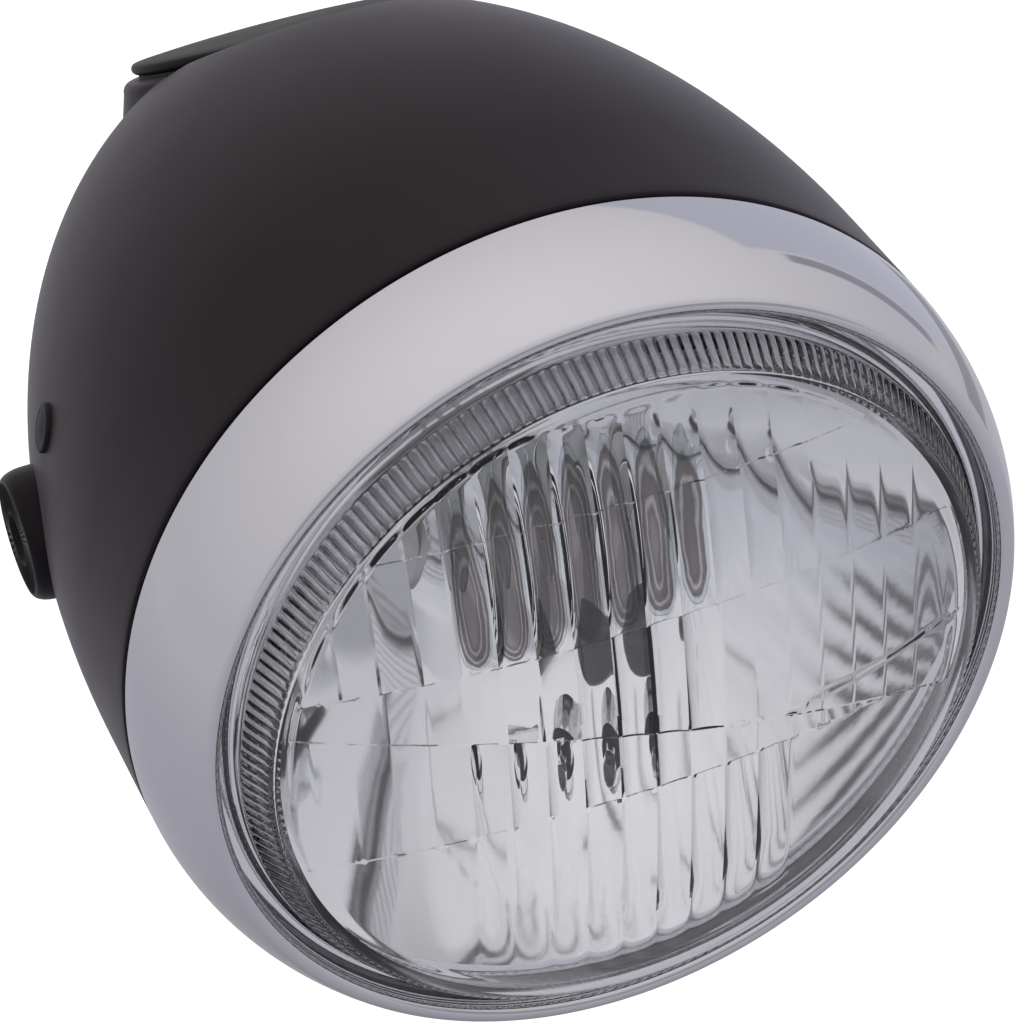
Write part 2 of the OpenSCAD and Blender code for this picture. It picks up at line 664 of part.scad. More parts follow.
module boss_nut() translate([0, 0, pad_in_x - 2 * fit - boss_washer_t - boss_nut_t]) difference() {
  hexagon(boss_nut_af, boss_nut_t);
  translate([0, 0, -1]) cylinder(h = boss_nut_t + 2, r = shank_d / 2 + nut_play);
}

module left_boss() color([0.1, 0.1, 0.1]) sideways(-1) side_boss();
module right_boss() color([0.1, 0.1, 0.1]) sideways(1) side_boss();
module left_boss_washer() color([0.7, 0.7, 0.68]) sideways(-1) boss_washer();
module right_boss_washer() color([0.7, 0.7, 0.68]) sideways(1) boss_washer();
module left_boss_nut() color([0.75, 0.75, 0.72]) sideways(-1) boss_nut();
module right_boss_nut() color([0.75, 0.75, 0.72]) sideways(1) boss_nut();

module side_plug() color([0.12, 0.11, 0.11]) at_plug() translate([0, 0, fit - plug_sink])
  rotate_extrude() polygon(concat(
    [[0, -plug_stem], [plug_stem_r - 1.5, -plug_stem], [plug_stem_r + 0.7, -wall - 1.6]],
    [[plug_stem_r, -wall - 1], [plug_stem_r, 0], [plug_d / 2, 0]],
    arc_pts(plug_d / 2 - plug_edge, plug_t - plug_edge, plug_edge, 0, 80),
    [[0, plug_t + plug_crown]]));

module cable_grommet() color([0.05, 0.05, 0.05]) at_grommet()
  rotate_extrude() polygon([
    [cable_d / 2, grommet_out], [cable_d / 2, -wall - grommet_in],
    [grommet_r + grommet_lip - grommet_edge, -wall - grommet_in],
    [grommet_r + grommet_lip, -wall - fit], [grommet_r - fit, -wall - fit],
    [grommet_r - fit, fit], [grommet_r + grommet_lip, fit],
    [grommet_r + grommet_lip, grommet_lip_t - grommet_edge],
    [grommet_r + grommet_lip - grommet_edge, grommet_lip_t],
    [cable_d / 2 + grommet_neck, grommet_lip_t + grommet_edge],
    [cable_d / 2 + grommet_neck / 2, grommet_out]
  ]);

shell();
instrument_cover();
cover_seal();
cover_bridge();
cover_nut();
rim();
rim_seal();
rim_tongue();
rim_bracket();
rim_nut();
rim_screw();
rim_clips();
lens();
lens_gasket();
reflector();
bulb();
bulb_lock_ring();
bulb_boot();
pilot_holder();
pilot_bulb();
left_boss();
right_boss();
left_boss_washer();
right_boss_washer();
left_boss_nut();
right_boss_nut();
side_plug();
cable_grommet();
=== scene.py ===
"""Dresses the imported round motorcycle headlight: shell, rim, fluted lens, mirror, bulb and fittings.

Metres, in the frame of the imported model: the beam points along -Y and +Z is up. Sections are drawn
in millimetres as (radius, station), where a station is a distance behind the rim's back edge.
"""
import math

import bmesh
import bpy
from bpy.props import FloatProperty, FloatVectorProperty, IntProperty, PointerProperty
from mathutils import Matrix, Vector


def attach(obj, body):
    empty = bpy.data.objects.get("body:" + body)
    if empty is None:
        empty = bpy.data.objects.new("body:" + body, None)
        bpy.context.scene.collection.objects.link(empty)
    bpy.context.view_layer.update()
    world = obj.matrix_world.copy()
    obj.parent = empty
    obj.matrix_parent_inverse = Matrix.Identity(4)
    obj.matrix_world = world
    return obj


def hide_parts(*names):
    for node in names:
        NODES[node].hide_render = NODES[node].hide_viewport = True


bl_info = {
    "name": "Round Motorcycle Headlight",
    "version": (1, 0, 0),
    "blender": (4, 5, 0),
    "location": "View3D > Sidebar > Headlight",
    "description": "Builds the visible pieces of a round motorcycle headlight over its packed solids",
    "category": "Object",
}

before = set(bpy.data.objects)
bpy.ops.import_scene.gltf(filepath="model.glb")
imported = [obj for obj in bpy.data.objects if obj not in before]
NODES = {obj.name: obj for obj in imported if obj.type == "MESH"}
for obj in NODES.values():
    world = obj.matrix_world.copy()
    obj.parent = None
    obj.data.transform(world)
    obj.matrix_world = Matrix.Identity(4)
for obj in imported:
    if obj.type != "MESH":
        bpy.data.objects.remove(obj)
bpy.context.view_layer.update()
MM = 0.001

# Stations (B), radii (R) and distances that the pieces share, in millimetres, as the solids have them
SETBACK = 74.0       # from the rim's back edge to the frame's zero
MOUTH_B = 1.6        # front of the shell's mouth
REAR_B = 186.89      # back end of the shell
REAR_R = 20.0        # radius of the flat back end
CABLE_DOWN = 3.0     # cable hole, below the axis
SEAT_R = 39.0        # top of the instrument seat
SEAT_INSET = 29.9    # middle of the seat, ahead of the shell's back end
SEAT_SINK = 7.1      # middle of the seat, below the shell's crown line
BOSS_HOLE_R = 8.2    # holes for the side bosses
CROWN_R = 50.0       # round of the rim's crown
FLANGE_R = 86.3      # flanges of the lens and the mirror
LENS_B = -23.05      # front of the lens's flange
LENS_BACK_B = -19.05
WALL_R = 81.2        # foot of the lens's wall
MIRROR_B = -17.25    # front of the mirror's flange
MIRROR_R = 77.2      # mouth of the mirror, and the lens's flange inside
PILOT_DOWN = 48.0    # pilot lamp, below the axis
BULB_B = 36.92       # seat of the main bulb


# ---------------------------------------------------------------- sizes and colours

class LampSizes(bpy.types.PropertyGroup):
    """Sizes of the dressed pieces."""
    rim_radius: FloatProperty(name="Rim Radius",
                              description="Radius of the rim's back edge and of the shell's mouth",
                              default=0.095, unit="LENGTH")
    shell_straight: FloatProperty(name="Straight Length",
                                  description="Straight length of the shell behind its mouth",
                                  default=0.0295, unit="LENGTH")
    shell_dome: FloatProperty(name="Dome Length", description="Length of the shell's elliptical dome",
                              default=0.161, unit="LENGTH")
    shell_wall: FloatProperty(name="Wall", description="Thickness of the shell's wall",
                              default=0.0018, unit="LENGTH")
    seat_tilt: FloatProperty(name="Seat Tilt", description="Tilt of the instrument seat towards the rider",
                             default=math.radians(28.3), subtype="ANGLE")
    cover_radius: FloatProperty(name="Cover Radius", description="Radius of the blanking cover",
                                default=0.036, unit="LENGTH")
    face_radius: FloatProperty(name="Face Radius", description="Radius of the lens face at its edge",
                               default=0.0765, unit="LENGTH")
    flute_count: IntProperty(name="Flutes", description="Flutes round the wall of the lens", default=210)
    flute_depth: FloatProperty(name="Flute Depth", description="Height of each flute",
                               default=0.00075, unit="LENGTH")
    prism_pitch: FloatProperty(name="Prism Pitch", description="Width of the upright prisms inside the lens",
                               default=0.0075, unit="LENGTH")
    focal: FloatProperty(name="Focal Length", description="Focal length of the mirror",
                         default=0.027, unit="LENGTH")
    bulb_radius: FloatProperty(name="Bulb Radius", description="Radius of the bulb's glass",
                               default=0.0085, unit="LENGTH")
    serrations: IntProperty(name="Serrations", description="Serrations on the face of each side boss",
                            default=48)


class LampColours(bpy.types.PropertyGroup):
    """Colours of the finishes."""
    enamel: FloatVectorProperty(name="Enamel", description="Satin enamel of the shell", subtype="COLOR",
                                default=(0.0088, 0.0068, 0.0082))
    moulding: FloatVectorProperty(name="Moulding", description="Cover and side plug", subtype="COLOR",
                                  default=(0.011, 0.0095, 0.0095))
    chrome: FloatVectorProperty(name="Chrome", description="Plating of the rim", subtype="COLOR",
                                default=(0.605, 0.592, 0.622))
    glass: FloatVectorProperty(name="Glass", description="Cast of the pressed glass", subtype="COLOR",
                               default=(0.968, 0.974, 0.978))
    mirror: FloatVectorProperty(name="Mirror", description="Coating of the reflector", subtype="COLOR",
                                default=(0.87, 0.865, 0.885))
    bulb_cap: FloatVectorProperty(name="Bulb Cap", description="Dark coating on the tip of the bulb",
                                  subtype="COLOR", default=(0.045, 0.031, 0.032))
    rubber: FloatVectorProperty(name="Rubber", description="Seals, boot and grommet", subtype="COLOR",
                                default=(0.012, 0.012, 0.012))
    zinc: FloatVectorProperty(name="Zinc", description="Plated steel fittings", subtype="COLOR",
                              default=(0.5, 0.5, 0.49))


# ---------------------------------------------------------------- finishes

def finish(name, colour, roughness, metallic=0.0, **more):
    """A named Principled material with its even values set on its own sockets."""
    mat = bpy.data.materials.new(name)
    mat.use_nodes = True
    shader = mat.node_tree.nodes["Principled BSDF"]
    shader.inputs["Base Color"].default_value = (*colour, 1)
    shader.inputs["Roughness"].default_value = roughness
    shader.inputs["Metallic"].default_value = metallic
    for socket, value in more.items():
        shader.inputs[socket.replace("_", " ")].default_value = value
    mat.diffuse_color = (*colour, 1)
    return mat


def tone_ramp(tree, value, stops):
    """A colour ramp, each stop a position and a colour."""
    made = tree.nodes.new("ShaderNodeValToRGB")
    points = made.color_ramp.elements
    while len(points) < len(stops):
        points.new(0.5)
    for point, (position, colour) in zip(points, stops):
        point.position, point.color = position, (*colour, 1)
    tree.links.new(value, made.inputs["Fac"])
    return made.outputs["Color"]


def reckon(tree, operation, *values, clamp=False):
    """A Math node on values that are sockets or numbers."""
    node = tree.nodes.new("ShaderNodeMath")
    node.operation, node.use_clamp = operation, clamp
    for socket, value in zip(node.inputs, values):
        if isinstance(value, float):
            socket.default_value = value
        else:
            tree.links.new(value, socket)
    return node.outputs[0]


def texture(mat, scale, detail=3.0, stretch=(1, 1, 1)):
    """Noise on Object coordinates, stretched along the axes if asked."""
    nodes, links = mat.node_tree.nodes, mat.node_tree.links
    place = nodes.new("ShaderNodeTexCoord")
    turn = nodes.new("ShaderNodeMapping")
    turn.inputs["Scale"].default_value = stretch
    noise = nodes.new("ShaderNodeTexNoise")
    noise.inputs["Scale"].default_value = scale
    noise.inputs["Detail"].default_value = detail
    links.new(place.outputs["Object"], turn.inputs["Vector"])
    links.new(turn.outputs["Vector"], noise.inputs["Vector"])
    return noise.outputs["Fac"]


def vary_roughness(mat, low, high, *noise):
    """Roughness that wanders between two values, over a texture's scale, detail and stretch."""
    nodes, links = mat.node_tree.nodes, mat.node_tree.links
    span = nodes.new("ShaderNodeMapRange")
    span.inputs["To Min"].default_value = low
    span.inputs["To Max"].default_value = high
    links.new(texture(mat, *noise), span.inputs["Value"])
    links.new(span.outputs["Result"], nodes["Principled BSDF"].inputs["Roughness"])


def vary_colour(mat, first, second, *noise):
    """Base colour that wanders between two colours."""
    tree = mat.node_tree
    tone = tone_ramp(tree, texture(mat, *noise), [(0.35, first), (0.65, second)])
    tree.links.new(tone, tree.nodes["Principled BSDF"].inputs["Base Color"])


def surface_relief(mat, depth, strength, *noise, rounding=0.0):
    """Fine relief, over rounded edges if asked."""
    nodes, links = mat.node_tree.nodes, mat.node_tree.links
    bump = nodes.new("ShaderNodeBump")
    bump.inputs["Strength"].default_value = strength
    bump.inputs["Distance"].default_value = depth
    links.new(texture(mat, *noise), bump.inputs["Height"])
    if rounding:
        edge = nodes.new("ShaderNodeBevel")
        edge.samples = 8
        edge.inputs["Radius"].default_value = rounding
        links.new(edge.outputs["Normal"], bump.inputs["Normal"])
    links.new(bump.outputs["Normal"], nodes["Principled BSDF"].inputs["Normal"])


# Painted reflection bands over one of the strong pillows of the lens, from outside it (0) to its middle (1)
PAINTED_REFLECTION_BANDS = (
    (0.0, (1, 1, 1)), (0.31, (1, 1, 1)), (0.33, (0.2, 0.21, 0.21)), (0.36, (0.62, 0.72, 0.72)),
    (0.41, (0.5, 0.6, 0.6)), (0.44, (0.04, 0.03, 0.03)), (0.51, (0.06, 0.045, 0.042)),
    (0.55, (0.34, 0.3, 0.3)), (0.6, (0.025, 0.02, 0.02)), (0.7, (0.05, 0.04, 0.038)),
    (0.74, (0.3, 0.26, 0.26)), (0.79, (0.03, 0.022, 0.022)), (0.88, (0.1, 0.08, 0.08)),
)


def paint_shade_and_reflections(mat, open_colour, groove_shade_colour):
    """Paints shade into the glass in its grooves, and painted reflections as nested dark bands over its
    strongest pillows.
    """
    tree = mat.node_tree
    painted_marks = {}
    for name in ("groove_shade", "pillow_reflection"):
        painted_mark = tree.nodes.new("ShaderNodeAttribute")
        painted_mark.attribute_name = name
        painted_marks[name] = painted_mark.outputs["Fac"]
    groove_shade = tone_ramp(tree, painted_marks["groove_shade"], [(0.0, open_colour), (1.0, groove_shade_colour)])
    inside = reckon(tree, "MULTIPLY", painted_marks["pillow_reflection"], 10.0, clamp=True)
    reflection_wobble = reckon(tree, "MULTIPLY", texture(mat, 210, 3, (1, 1, 0.22)), inside)
    reflection_bands = tone_ramp(tree, reckon(tree, "MULTIPLY_ADD", reflection_wobble, 0.5, painted_marks["pillow_reflection"]), PAINTED_REFLECTION_BANDS)
    blend = tree.nodes.new("ShaderNodeMix")
    blend.data_type, blend.blend_type = "RGBA", "MULTIPLY"
    blend.inputs["Factor"].default_value = 1.0
    tree.links.new(groove_shade, blend.inputs["A"])
    tree.links.new(reflection_bands, blend.inputs["B"])
    tree.links.new(blend.outputs["Result"], tree.nodes["Principled BSDF"].inputs["Base Color"])


def scaled(colour, factor):
    """A colour made darker or lighter."""
    return tuple(c * factor for c in colour)


def make_finishes():
    """Every finish of the lamp, by name."""
    tones = bpy.context.scene.lamp_colours
    made = {}

    enamel = finish("satin_black_enamel", tones.enamel, 0.4, Specular_IOR_Level=0.12,
                    Specular_Tint=(1.0, 0.84, 0.96, 1.0), Sheen_Weight=0.14,
                    Sheen_Tint=(0.97, 0.85, 1.0, 1.0), Sheen_Roughness=0.3)
    vary_colour(enamel, scaled(tones.enamel, 0.9), scaled(tones.enamel, 1.15), 9)
    vary_roughness(enamel, 0.38, 0.46, 60)
    surface_relief(enamel, 0.00002, 0.25, 1400, 2, rounding=0.0009)
    made["enamel"] = enamel

    moulding = finish("black_moulding", tones.moulding, 0.45, Specular_IOR_Level=0.11,
                      Specular_Tint=(1.0, 0.84, 0.88, 1.0))
    vary_roughness(moulding, 0.4, 0.52, 120)
    surface_relief(moulding, 0.00003, 0.35, 2200, 2)
    made["moulding"] = moulding

    boss = finish("black_boss_enamel", scaled(tones.enamel, 0.4), 0.36, Specular_IOR_Level=0.13,
                  Specular_Tint=(0.97, 0.88, 0.95, 1.0))
    vary_roughness(boss, 0.3, 0.44, 150)
    surface_relief(boss, 0.00003, 0.3, 900, 2, rounding=0.0003)
    made["boss"] = boss

    chrome = finish("bright_chrome", tones.chrome, 0.05, 1.0)
    vary_roughness(chrome, 0.035, 0.075, 30)
    vary_colour(chrome, scaled(tones.chrome, 0.97), scaled(tones.chrome, 1.03), 7)
    surface_relief(chrome, 0.00002, 0.12, 45, 1)
    made["chrome"] = chrome

    glass = finish("pressed_glass", tones.glass, 0.0, Transmission_Weight=1.0, IOR=1.5)
    vary_roughness(glass, 0.0, 0.012, 260, 2)
    # Painted shade in the flute valleys and painted reflections over the strong pillows, multiplied into the
    # glass's colour
    paint_shade_and_reflections(glass, tones.glass, (0.06, 0.06, 0.066))
    surface_relief(glass, 0.00004, 0.3, 160, 2)
    made["glass"] = glass

    frosted = finish("pressed_glass_wall", scaled(tones.glass, 0.97), 0.1,
                     Transmission_Weight=1.0, IOR=1.5)
    vary_roughness(frosted, 0.08, 0.13, 90)
    made["frosted"] = frosted

    mirror = finish("silvered_mirror", tones.mirror, 0.03, 1.0)
    vary_roughness(mirror, 0.045, 0.08, 40)
    surface_relief(mirror, 0.0003, 0.25, 35, 1)
    made["mirror"] = mirror

    envelope = finish("bulb_glass", (0.95, 0.96, 0.97), 0.0, Transmission_Weight=1.0, IOR=1.47)
    surface_relief(envelope, 0.00002, 0.2, 300, 1)
    made["envelope"] = envelope

    cap = finish("bulb_cap_coating", tones.bulb_cap, 0.3, Coat_Weight=0.3)
    vary_colour(cap, scaled(tones.bulb_cap, 0.7), scaled(tones.bulb_cap, 1.5), 400)
    made["cap"] = cap

    rubber = finish("black_rubber", tones.rubber, 0.7)
    vary_roughness(rubber, 0.6, 0.8, 200)
    surface_relief(rubber, 0.00006, 0.4, 1200, 3)
    made["rubber"] = rubber

    sealant = finish("grey_sealant", (0.36, 0.36, 0.38), 0.5)
    vary_roughness(sealant, 0.42, 0.58, 200)
    vary_colour(sealant, (0.32, 0.32, 0.34), (0.4, 0.4, 0.42), 120)
    made["sealant"] = sealant

    zinc = finish("zinc_plate", tones.zinc, 0.35, 1.0)
    vary_roughness(zinc, 0.25, 0.45, 300)
    vary_colour(zinc, scaled(tones.zinc, 0.85), scaled(tones.zinc, 1.1), 90)
    surface_relief(zinc, 0.00003, 0.3, 700, 2)
    made["zinc"] = zinc

    spring = finish("spring_steel", scaled(tones.zinc, 0.8), 0.28, 1.0)
    vary_roughness(spring, 0.2, 0.4, 400, 2, (1, 8, 1))
    made["spring"] = spring

    tungsten = finish("bright_filament_steel", (0.55, 0.54, 0.52), 0.3, 1.0)
    vary_roughness(tungsten, 0.22, 0.4, 500)
    made["tungsten"] = tungsten
    return made


# ---------------------------------------------------------------- geometry

def along_beam(b=0.0, down=0.0):
    """Placement that lays local Z along the beam axis, with z = 0 at a station."""
    return Matrix.Translation((0, (b - SETBACK) * MM, -down * MM)) @ Matrix.Rotation(-math.pi / 2, 4, "X")


def shell_radius(b):
    """Radius of the shell at a station, in millimetres."""
    sizes = bpy.context.scene.lamp_sizes
    straight, dome, radius = sizes.shell_straight / MM, sizes.shell_dome / MM, sizes.rim_radius / MM
    return radius if b <= straight else radius * math.sqrt(max(0.0, 1 - ((b - straight) / dome) ** 2))


def on_seat(z=0.0):
    """Placement with local Z square to the instrument seat."""
    b = REAR_B - SEAT_INSET
    centre = Vector((0, b - SETBACK, shell_radius(b) - SEAT_SINK)) * MM
    tilt = Matrix.Rotation(-bpy.context.scene.lamp_sizes.seat_tilt, 4, "X")
    return Matrix.Translation(centre) @ tilt @ Matrix.Translation((0, 0, z * MM))


def sideways(side):
    """Placement with local Z pointing out of the lamp on one side."""
    return Matrix.Rotation(math.pi / 2 * side, 4, "Y")


def arc(cx, cy, radius, start, end, steps):
    """Points of a circular arc, in degrees."""
    angles = [math.radians(start + (end - start) * i / steps) for i in range(steps + 1)]
    return [(cx + radius * math.cos(a), cy + radius * math.sin(a)) for a in angles]


def spun(section, steps, closed=True):
    """A section of (radius, height) in millimetres, spun about local Z."""
    bm = bmesh.new()
    verts = [bm.verts.new((r * MM, 0, h * MM)) for r, h in section]
    ends = verts[1:] + (verts[:1] if closed else [])
    edges = [bm.edges.new(pair) for pair in zip(verts, ends)]
    bmesh.ops.spin(bm, geom=verts + edges, cent=(0, 0, 0), axis=(0, 0, 1), dvec=(0, 0, 0),
                   angle=2 * math.pi, steps=steps, use_merge=True)
    bmesh.ops.remove_doubles(bm, verts=bm.verts, dist=1e-6)
    bmesh.ops.recalc_face_normals(bm, faces=bm.faces)
    return bm


def across_tooth(vert, count):
    """How far across its tooth a vertex lies, from -1 to 1, with the teeth set round local Z."""
    turn = math.atan2(vert.co.y, vert.co.x) / (2 * math.pi) * count
    return 2 * (turn - math.floor(turn + 1e-6)) - 1


def box(bm, low, high):
    """Adds a block between two corners, in millimetres."""
    made = bmesh.ops.create_cube(bm, size=1.0)["verts"]
    size = [(h - l) * MM for l, h in zip(low, high)]
    centre = [(h + l) / 2 * MM for l, h in zip(low, high)]
    bmesh.ops.scale(bm, vec=size, verts=made)
    bmesh.ops.translate(bm, vec=centre, verts=made)
    return made


def merge(bm, other):
    """Adds a bmesh to another, and frees it."""
    loose = bpy.data.meshes.new("loose")
    other.to_mesh(loose)
    other.free()
    bm.from_mesh(loose)
    bpy.data.meshes.remove(loose)


def shade_smooth(bm, crease):
    """Smooth shading with hard edges above an angle, in degrees."""
    bm.normal_update()
    limit = math.radians(crease)
    for face in bm.faces:
        face.smooth = True
    for edge in bm.edges:
        edge.smooth = len(edge.link_faces) == 2 and edge.calc_face_angle(0.0) < limit


def to_object(bm, name, placement, mat, crease=35.0):
    """Writes a bmesh to an object, with its place in its mesh and hard edges above an angle."""
    bmesh.ops.transform(bm, matrix=placement, verts=bm.verts)
    shade_smooth(bm, crease)
    mesh = bpy.data.meshes.new(name)
    bm.to_mesh(mesh)
    bm.free()
    obj = bpy.data.objects.new(name, mesh)
    bpy.context.scene.collection.objects.link(obj)
    for m in mat if isinstance(mat, (list, tuple)) else [mat]:
        mesh.materials.append(m)
    return obj


def discard(obj):
    """Removes an object and its mesh."""
    spent = obj.data
    bpy.data.objects.remove(obj)
    bpy.data.meshes.remove(spent)


def carve(obj, bm, placement, operation="DIFFERENCE"):
    """Joins a form to an object, or cuts it away, and keeps the result as plain mesh."""
    tool = to_object(bm, "carving_tool", placement, obj.data.materials[0])
    step = obj.modifiers.new("carve", "BOOLEAN")
    step.operation, step.solver, step.object, step.use_self = operation, "EXACT", tool, True
    bpy.context.view_layer.update()
    carved = obj.evaluated_get(bpy.context.evaluated_depsgraph_get())
    made = bpy.data.meshes.new_from_object(carved)
    obj.modifiers.clear()
    old, obj.data = obj.data, made
    bpy.data.meshes.remove(old)
    discard(tool)


def finish_carving(obj, crease):
    """Clears slivers off a carved mesh, then shades it with hard edges above an angle."""
    weld, sliver = 5e-6, 2e-5
    bm = bmesh.new()
    bm.from_mesh(obj.data)
    bmesh.ops.remove_doubles(bm, verts=bm.verts, dist=weld)
    bmesh.ops.dissolve_degenerate(bm, dist=sliver, edges=bm.edges)
    shade_smooth(bm, crease)
    bm.to_mesh(obj.data)
    bm.free()


def settle(obj, slot, *nodes):
    """Sets a piece to ride on the lamp and hides the solids it stands for; the slot is not used."""
    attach(obj, "root")
    if nodes:
        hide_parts(*nodes)
    return obj


KIT = {}


def kit(name):
    if not KIT:
        KIT.update(make_finishes())
    return KIT[name]


# ---------------------------------------------------------------- shell and cover

def bowl(shrink, steps, curve):
    """The bowl's outline as a solid, shrunk by a wall."""
    sizes = bpy.context.scene.lamp_sizes
    radius, dome = sizes.rim_radius / MM - shrink, sizes.shell_dome / MM - shrink
    straight = sizes.shell_straight / MM
    turn = math.acos(REAR_R / (sizes.rim_radius / MM))
    rear = [(radius * math.cos(turn * i / curve), straight + dome * math.sin(turn * i / curve))
            for i in range(curve + 1)]
    if shrink:
        mouth = 89.8
        front = [(0, 0), (mouth, 0), (mouth, MOUTH_B + shrink), (radius, MOUTH_B + shrink)]
    else:
        start = 2.4
        front = [(0, MOUTH_B)] + arc(radius - 0.8, start, 0.8, -90, 0, 5)
        front += [(radius, start + (straight - start) * i / 10) for i in range(1, 10)]
    return spun(front + rear + [(0, REAR_B - shrink)], steps, closed=False)


def seat_form(shrink, steps):
    """The raised instrument seat as a solid, shrunk by a wall."""
    top, edge, deep, flare = SEAT_R - shrink, 2.4, 36.6, 0.3
    section = [(0, 0)] + arc(top - edge, -edge, edge, 90, 0, 8)
    section += [(top + flare * deep * i / 4, -edge - deep * i / 4) for i in range(1, 5)]
    section += [(0, -edge - deep)]
    return spun(section, steps, closed=False)


def scoop_form(grow, steps):
    """The scoop round the seat as a solid: a short upright step, then a shallow cone."""
    slope, step, radius, reach = 3.4, 2.2, SEAT_R + 0.5, 39.0
    skew = math.hypot(1, slope)
    inner, outer = radius + grow, radius + slope * (reach - step) + grow * skew
    return spun([(0, -grow), (inner, -grow), (inner, step - grow * (skew - 1) / slope),
                 (outer, reach), (0, reach)], steps, closed=False)


def drill(radius, low, high, steps):
    """A plain cylinder between two heights, for cutting a hole."""
    return spun([(0, low), (radius, low), (radius, high), (0, high)], steps, closed=False)


class LAMP_OT_shell(bpy.types.Operator):
    """Builds the black shell with its instrument seat"""
    bl_idname = "lamp.shell"
    bl_label = "Shell"

    def execute(self, context):
        wall = context.scene.lamp_sizes.shell_wall / MM
        crease = 12
        obj = to_object(bowl(0.0, 192, 64), "black_shell", along_beam(), kit("enamel"), crease)
        carve(obj, seat_form(0.0, 160), on_seat(), "UNION")
        carve(obj, scoop_form(0.0, 256), on_seat())
        inner = to_object(bowl(wall, 96, 32), "shell_inside", along_beam(), kit("enamel"), crease)
        carve(inner, seat_form(wall, 96), on_seat(), "UNION")
        carve(inner, scoop_form(wall, 128), on_seat())
        bm = bmesh.new()
        bm.from_mesh(inner.data)
        discard(inner)
        carve(obj, bm, Matrix.Identity(4))
        carve(obj, drill(31, -12, 1, 96), on_seat())
        carve(obj, drill(12, -9, 3, 64), along_beam(REAR_B, CABLE_DOWN))
        for side in (-1, 1):
            carve(obj, drill(BOSS_HOLE_R, 60, 97, 48), sideways(side))
        finish_carving(obj, crease)
        settle(obj, "satin_black", "shell")
        return {"FINISHED"}


class LAMP_OT_cover(bpy.types.Operator):
    """Builds the blanking cover on the instrument seat"""
    bl_idname = "lamp.cover"
    bl_label = "Instrument Cover"

    def execute(self, context):
        edge = context.scene.lamp_sizes.cover_radius / MM
        roll, rise = 1.3, 1.4
        stud = [(0, -20.0), (3, -20.0), (3, -0.8)]
        spigot = [(28.7, -0.8), (28.7, -5), (30.7, -5), (30.7, 0)]
        crown = [((edge - 2 * roll) * (1 - i / 14), 2 * roll + rise * (1 - (1 - i / 14) ** 2))
                 for i in range(1, 15)]
        section = stud + spigot + arc(edge - roll, roll, roll, -90, 60, 14) + crown
        obj = to_object(spun(section, 160, closed=False), "blanking_cover", on_seat(1.1),
                        kit("moulding"), 40)
        settle(obj, "cover_black", "instrument_cover")
        return {"FINISHED"}


# ---------------------------------------------------------------- rim

class LAMP_OT_rim(bpy.types.Operator):
    """Builds the domed chrome rim with its rolled nose"""
    bl_idname = "lamp.rim"
    bl_label = "Rim"

    def execute(self, context):
        radius, sheet, nose = context.scene.lamp_sizes.rim_radius / MM, 0.9, 2.2
        centre, nose_b = radius - CROWN_R, -24.3
        lead = math.asin(-nose_b / (CROWN_R - nose))
        nose_c = centre + (CROWN_R - nose) * math.cos(lead)
        turn = math.degrees(lead)
        section = [(radius - 4.6, 0), (radius - 0.5, 0)]
        section += arc(centre, 0, CROWN_R, 0, -turn, 40)
        section += arc(nose_c, nose_b, nose, -turn, -180, 26)[1:]
        lip = nose_c - nose
        section += [(lip, nose_b + 0.9), (lip + 0.15, nose_b + 1.1), (lip + sheet, nose_b + 1.1)]
        section += arc(nose_c, nose_b, nose - sheet, -180, -turn, 12)
        section += arc(centre, 0, CROWN_R - sheet, -turn, -1.05, 20)[1:]
        section += [(radius - 4.6, -sheet)]
        obj = to_object(spun(section, 288), "chrome_rim", along_beam(), kit("chrome"), 40)
        settle(obj, "chrome", "rim")
        return {"FINISHED"}


# ---------------------------------------------------------------- lens

# Level steps in the back of the glass, as heights above the axis, and one slanted step
TOP_STEP, UPPER_STEP, LOWER_STEP, SLANT_STEP, SLANT = 50.6, 22.8, -17.7, -3.4, 0.27
STEP_LINES = (((0, TOP_STEP), (0, 1)), ((0, UPPER_STEP), (0, 1)), ((0, LOWER_STEP), (0, 1)),
              ((0, SLANT_STEP), (SLANT, 1)))
# Heights of the strong prisms, from column -5 above the upper step and from -3 below it, and how
# darkly the painted reflection bands cover the upper ones
PRISM_SHIFT = 0.3
UPPER_RIBS = (1.0, 1.5, 1.6, 1.6, 1.5, 1.3, 1.0, 0.8, 0.65, 0.5)
MIDDLE_RIBS = (0.5, 0.9, 1.1, 1.1, 0.8)
UPPER_REFLECTION_STRENGTH = (0.8, 1.0, 1.0, 1.0, 0.85, 0.7, 0.5)


def ramp(value, low, high):
    """Rises smoothly from 0 to 1 between two values."""
    t = min(1.0, max(0.0, (value - low) / (high - low)))
    return t * t * (3 - 2 * t)


def prism_cell(x, pitch):
    """The column of prisms at a place, and how far across it the place lies, from -1 to 1."""
    cell = (x - PRISM_SHIFT) / pitch
    column = math.floor(cell)
    return column, 2 * (cell - column) - 1


def reflection_band_depth(x, z, pitch):
    """How far inside one of the strong pillows a place lies, weighted by how dark its painted reflection is: 0
    outside, 1 in its middle.
    """
    column, u = prism_cell(x, pitch)
    if z < UPPER_STEP or not -6 < column < 2:
        return 0.0
    top = min(69.0, math.sqrt(max(1.0, 72.0 ** 2 - x * x)) - 1)
    middle = 0.62 * UPPER_STEP + 0.38 * top
    if z > middle:
        reach = (z - middle) / (top - middle)
    else:
        reach = ((middle - z) / (middle - UPPER_STEP)) ** 3
    return UPPER_REFLECTION_STRENGTH[column + 5] * max(0.0, 1 - math.sqrt(u * u + reach * reach))


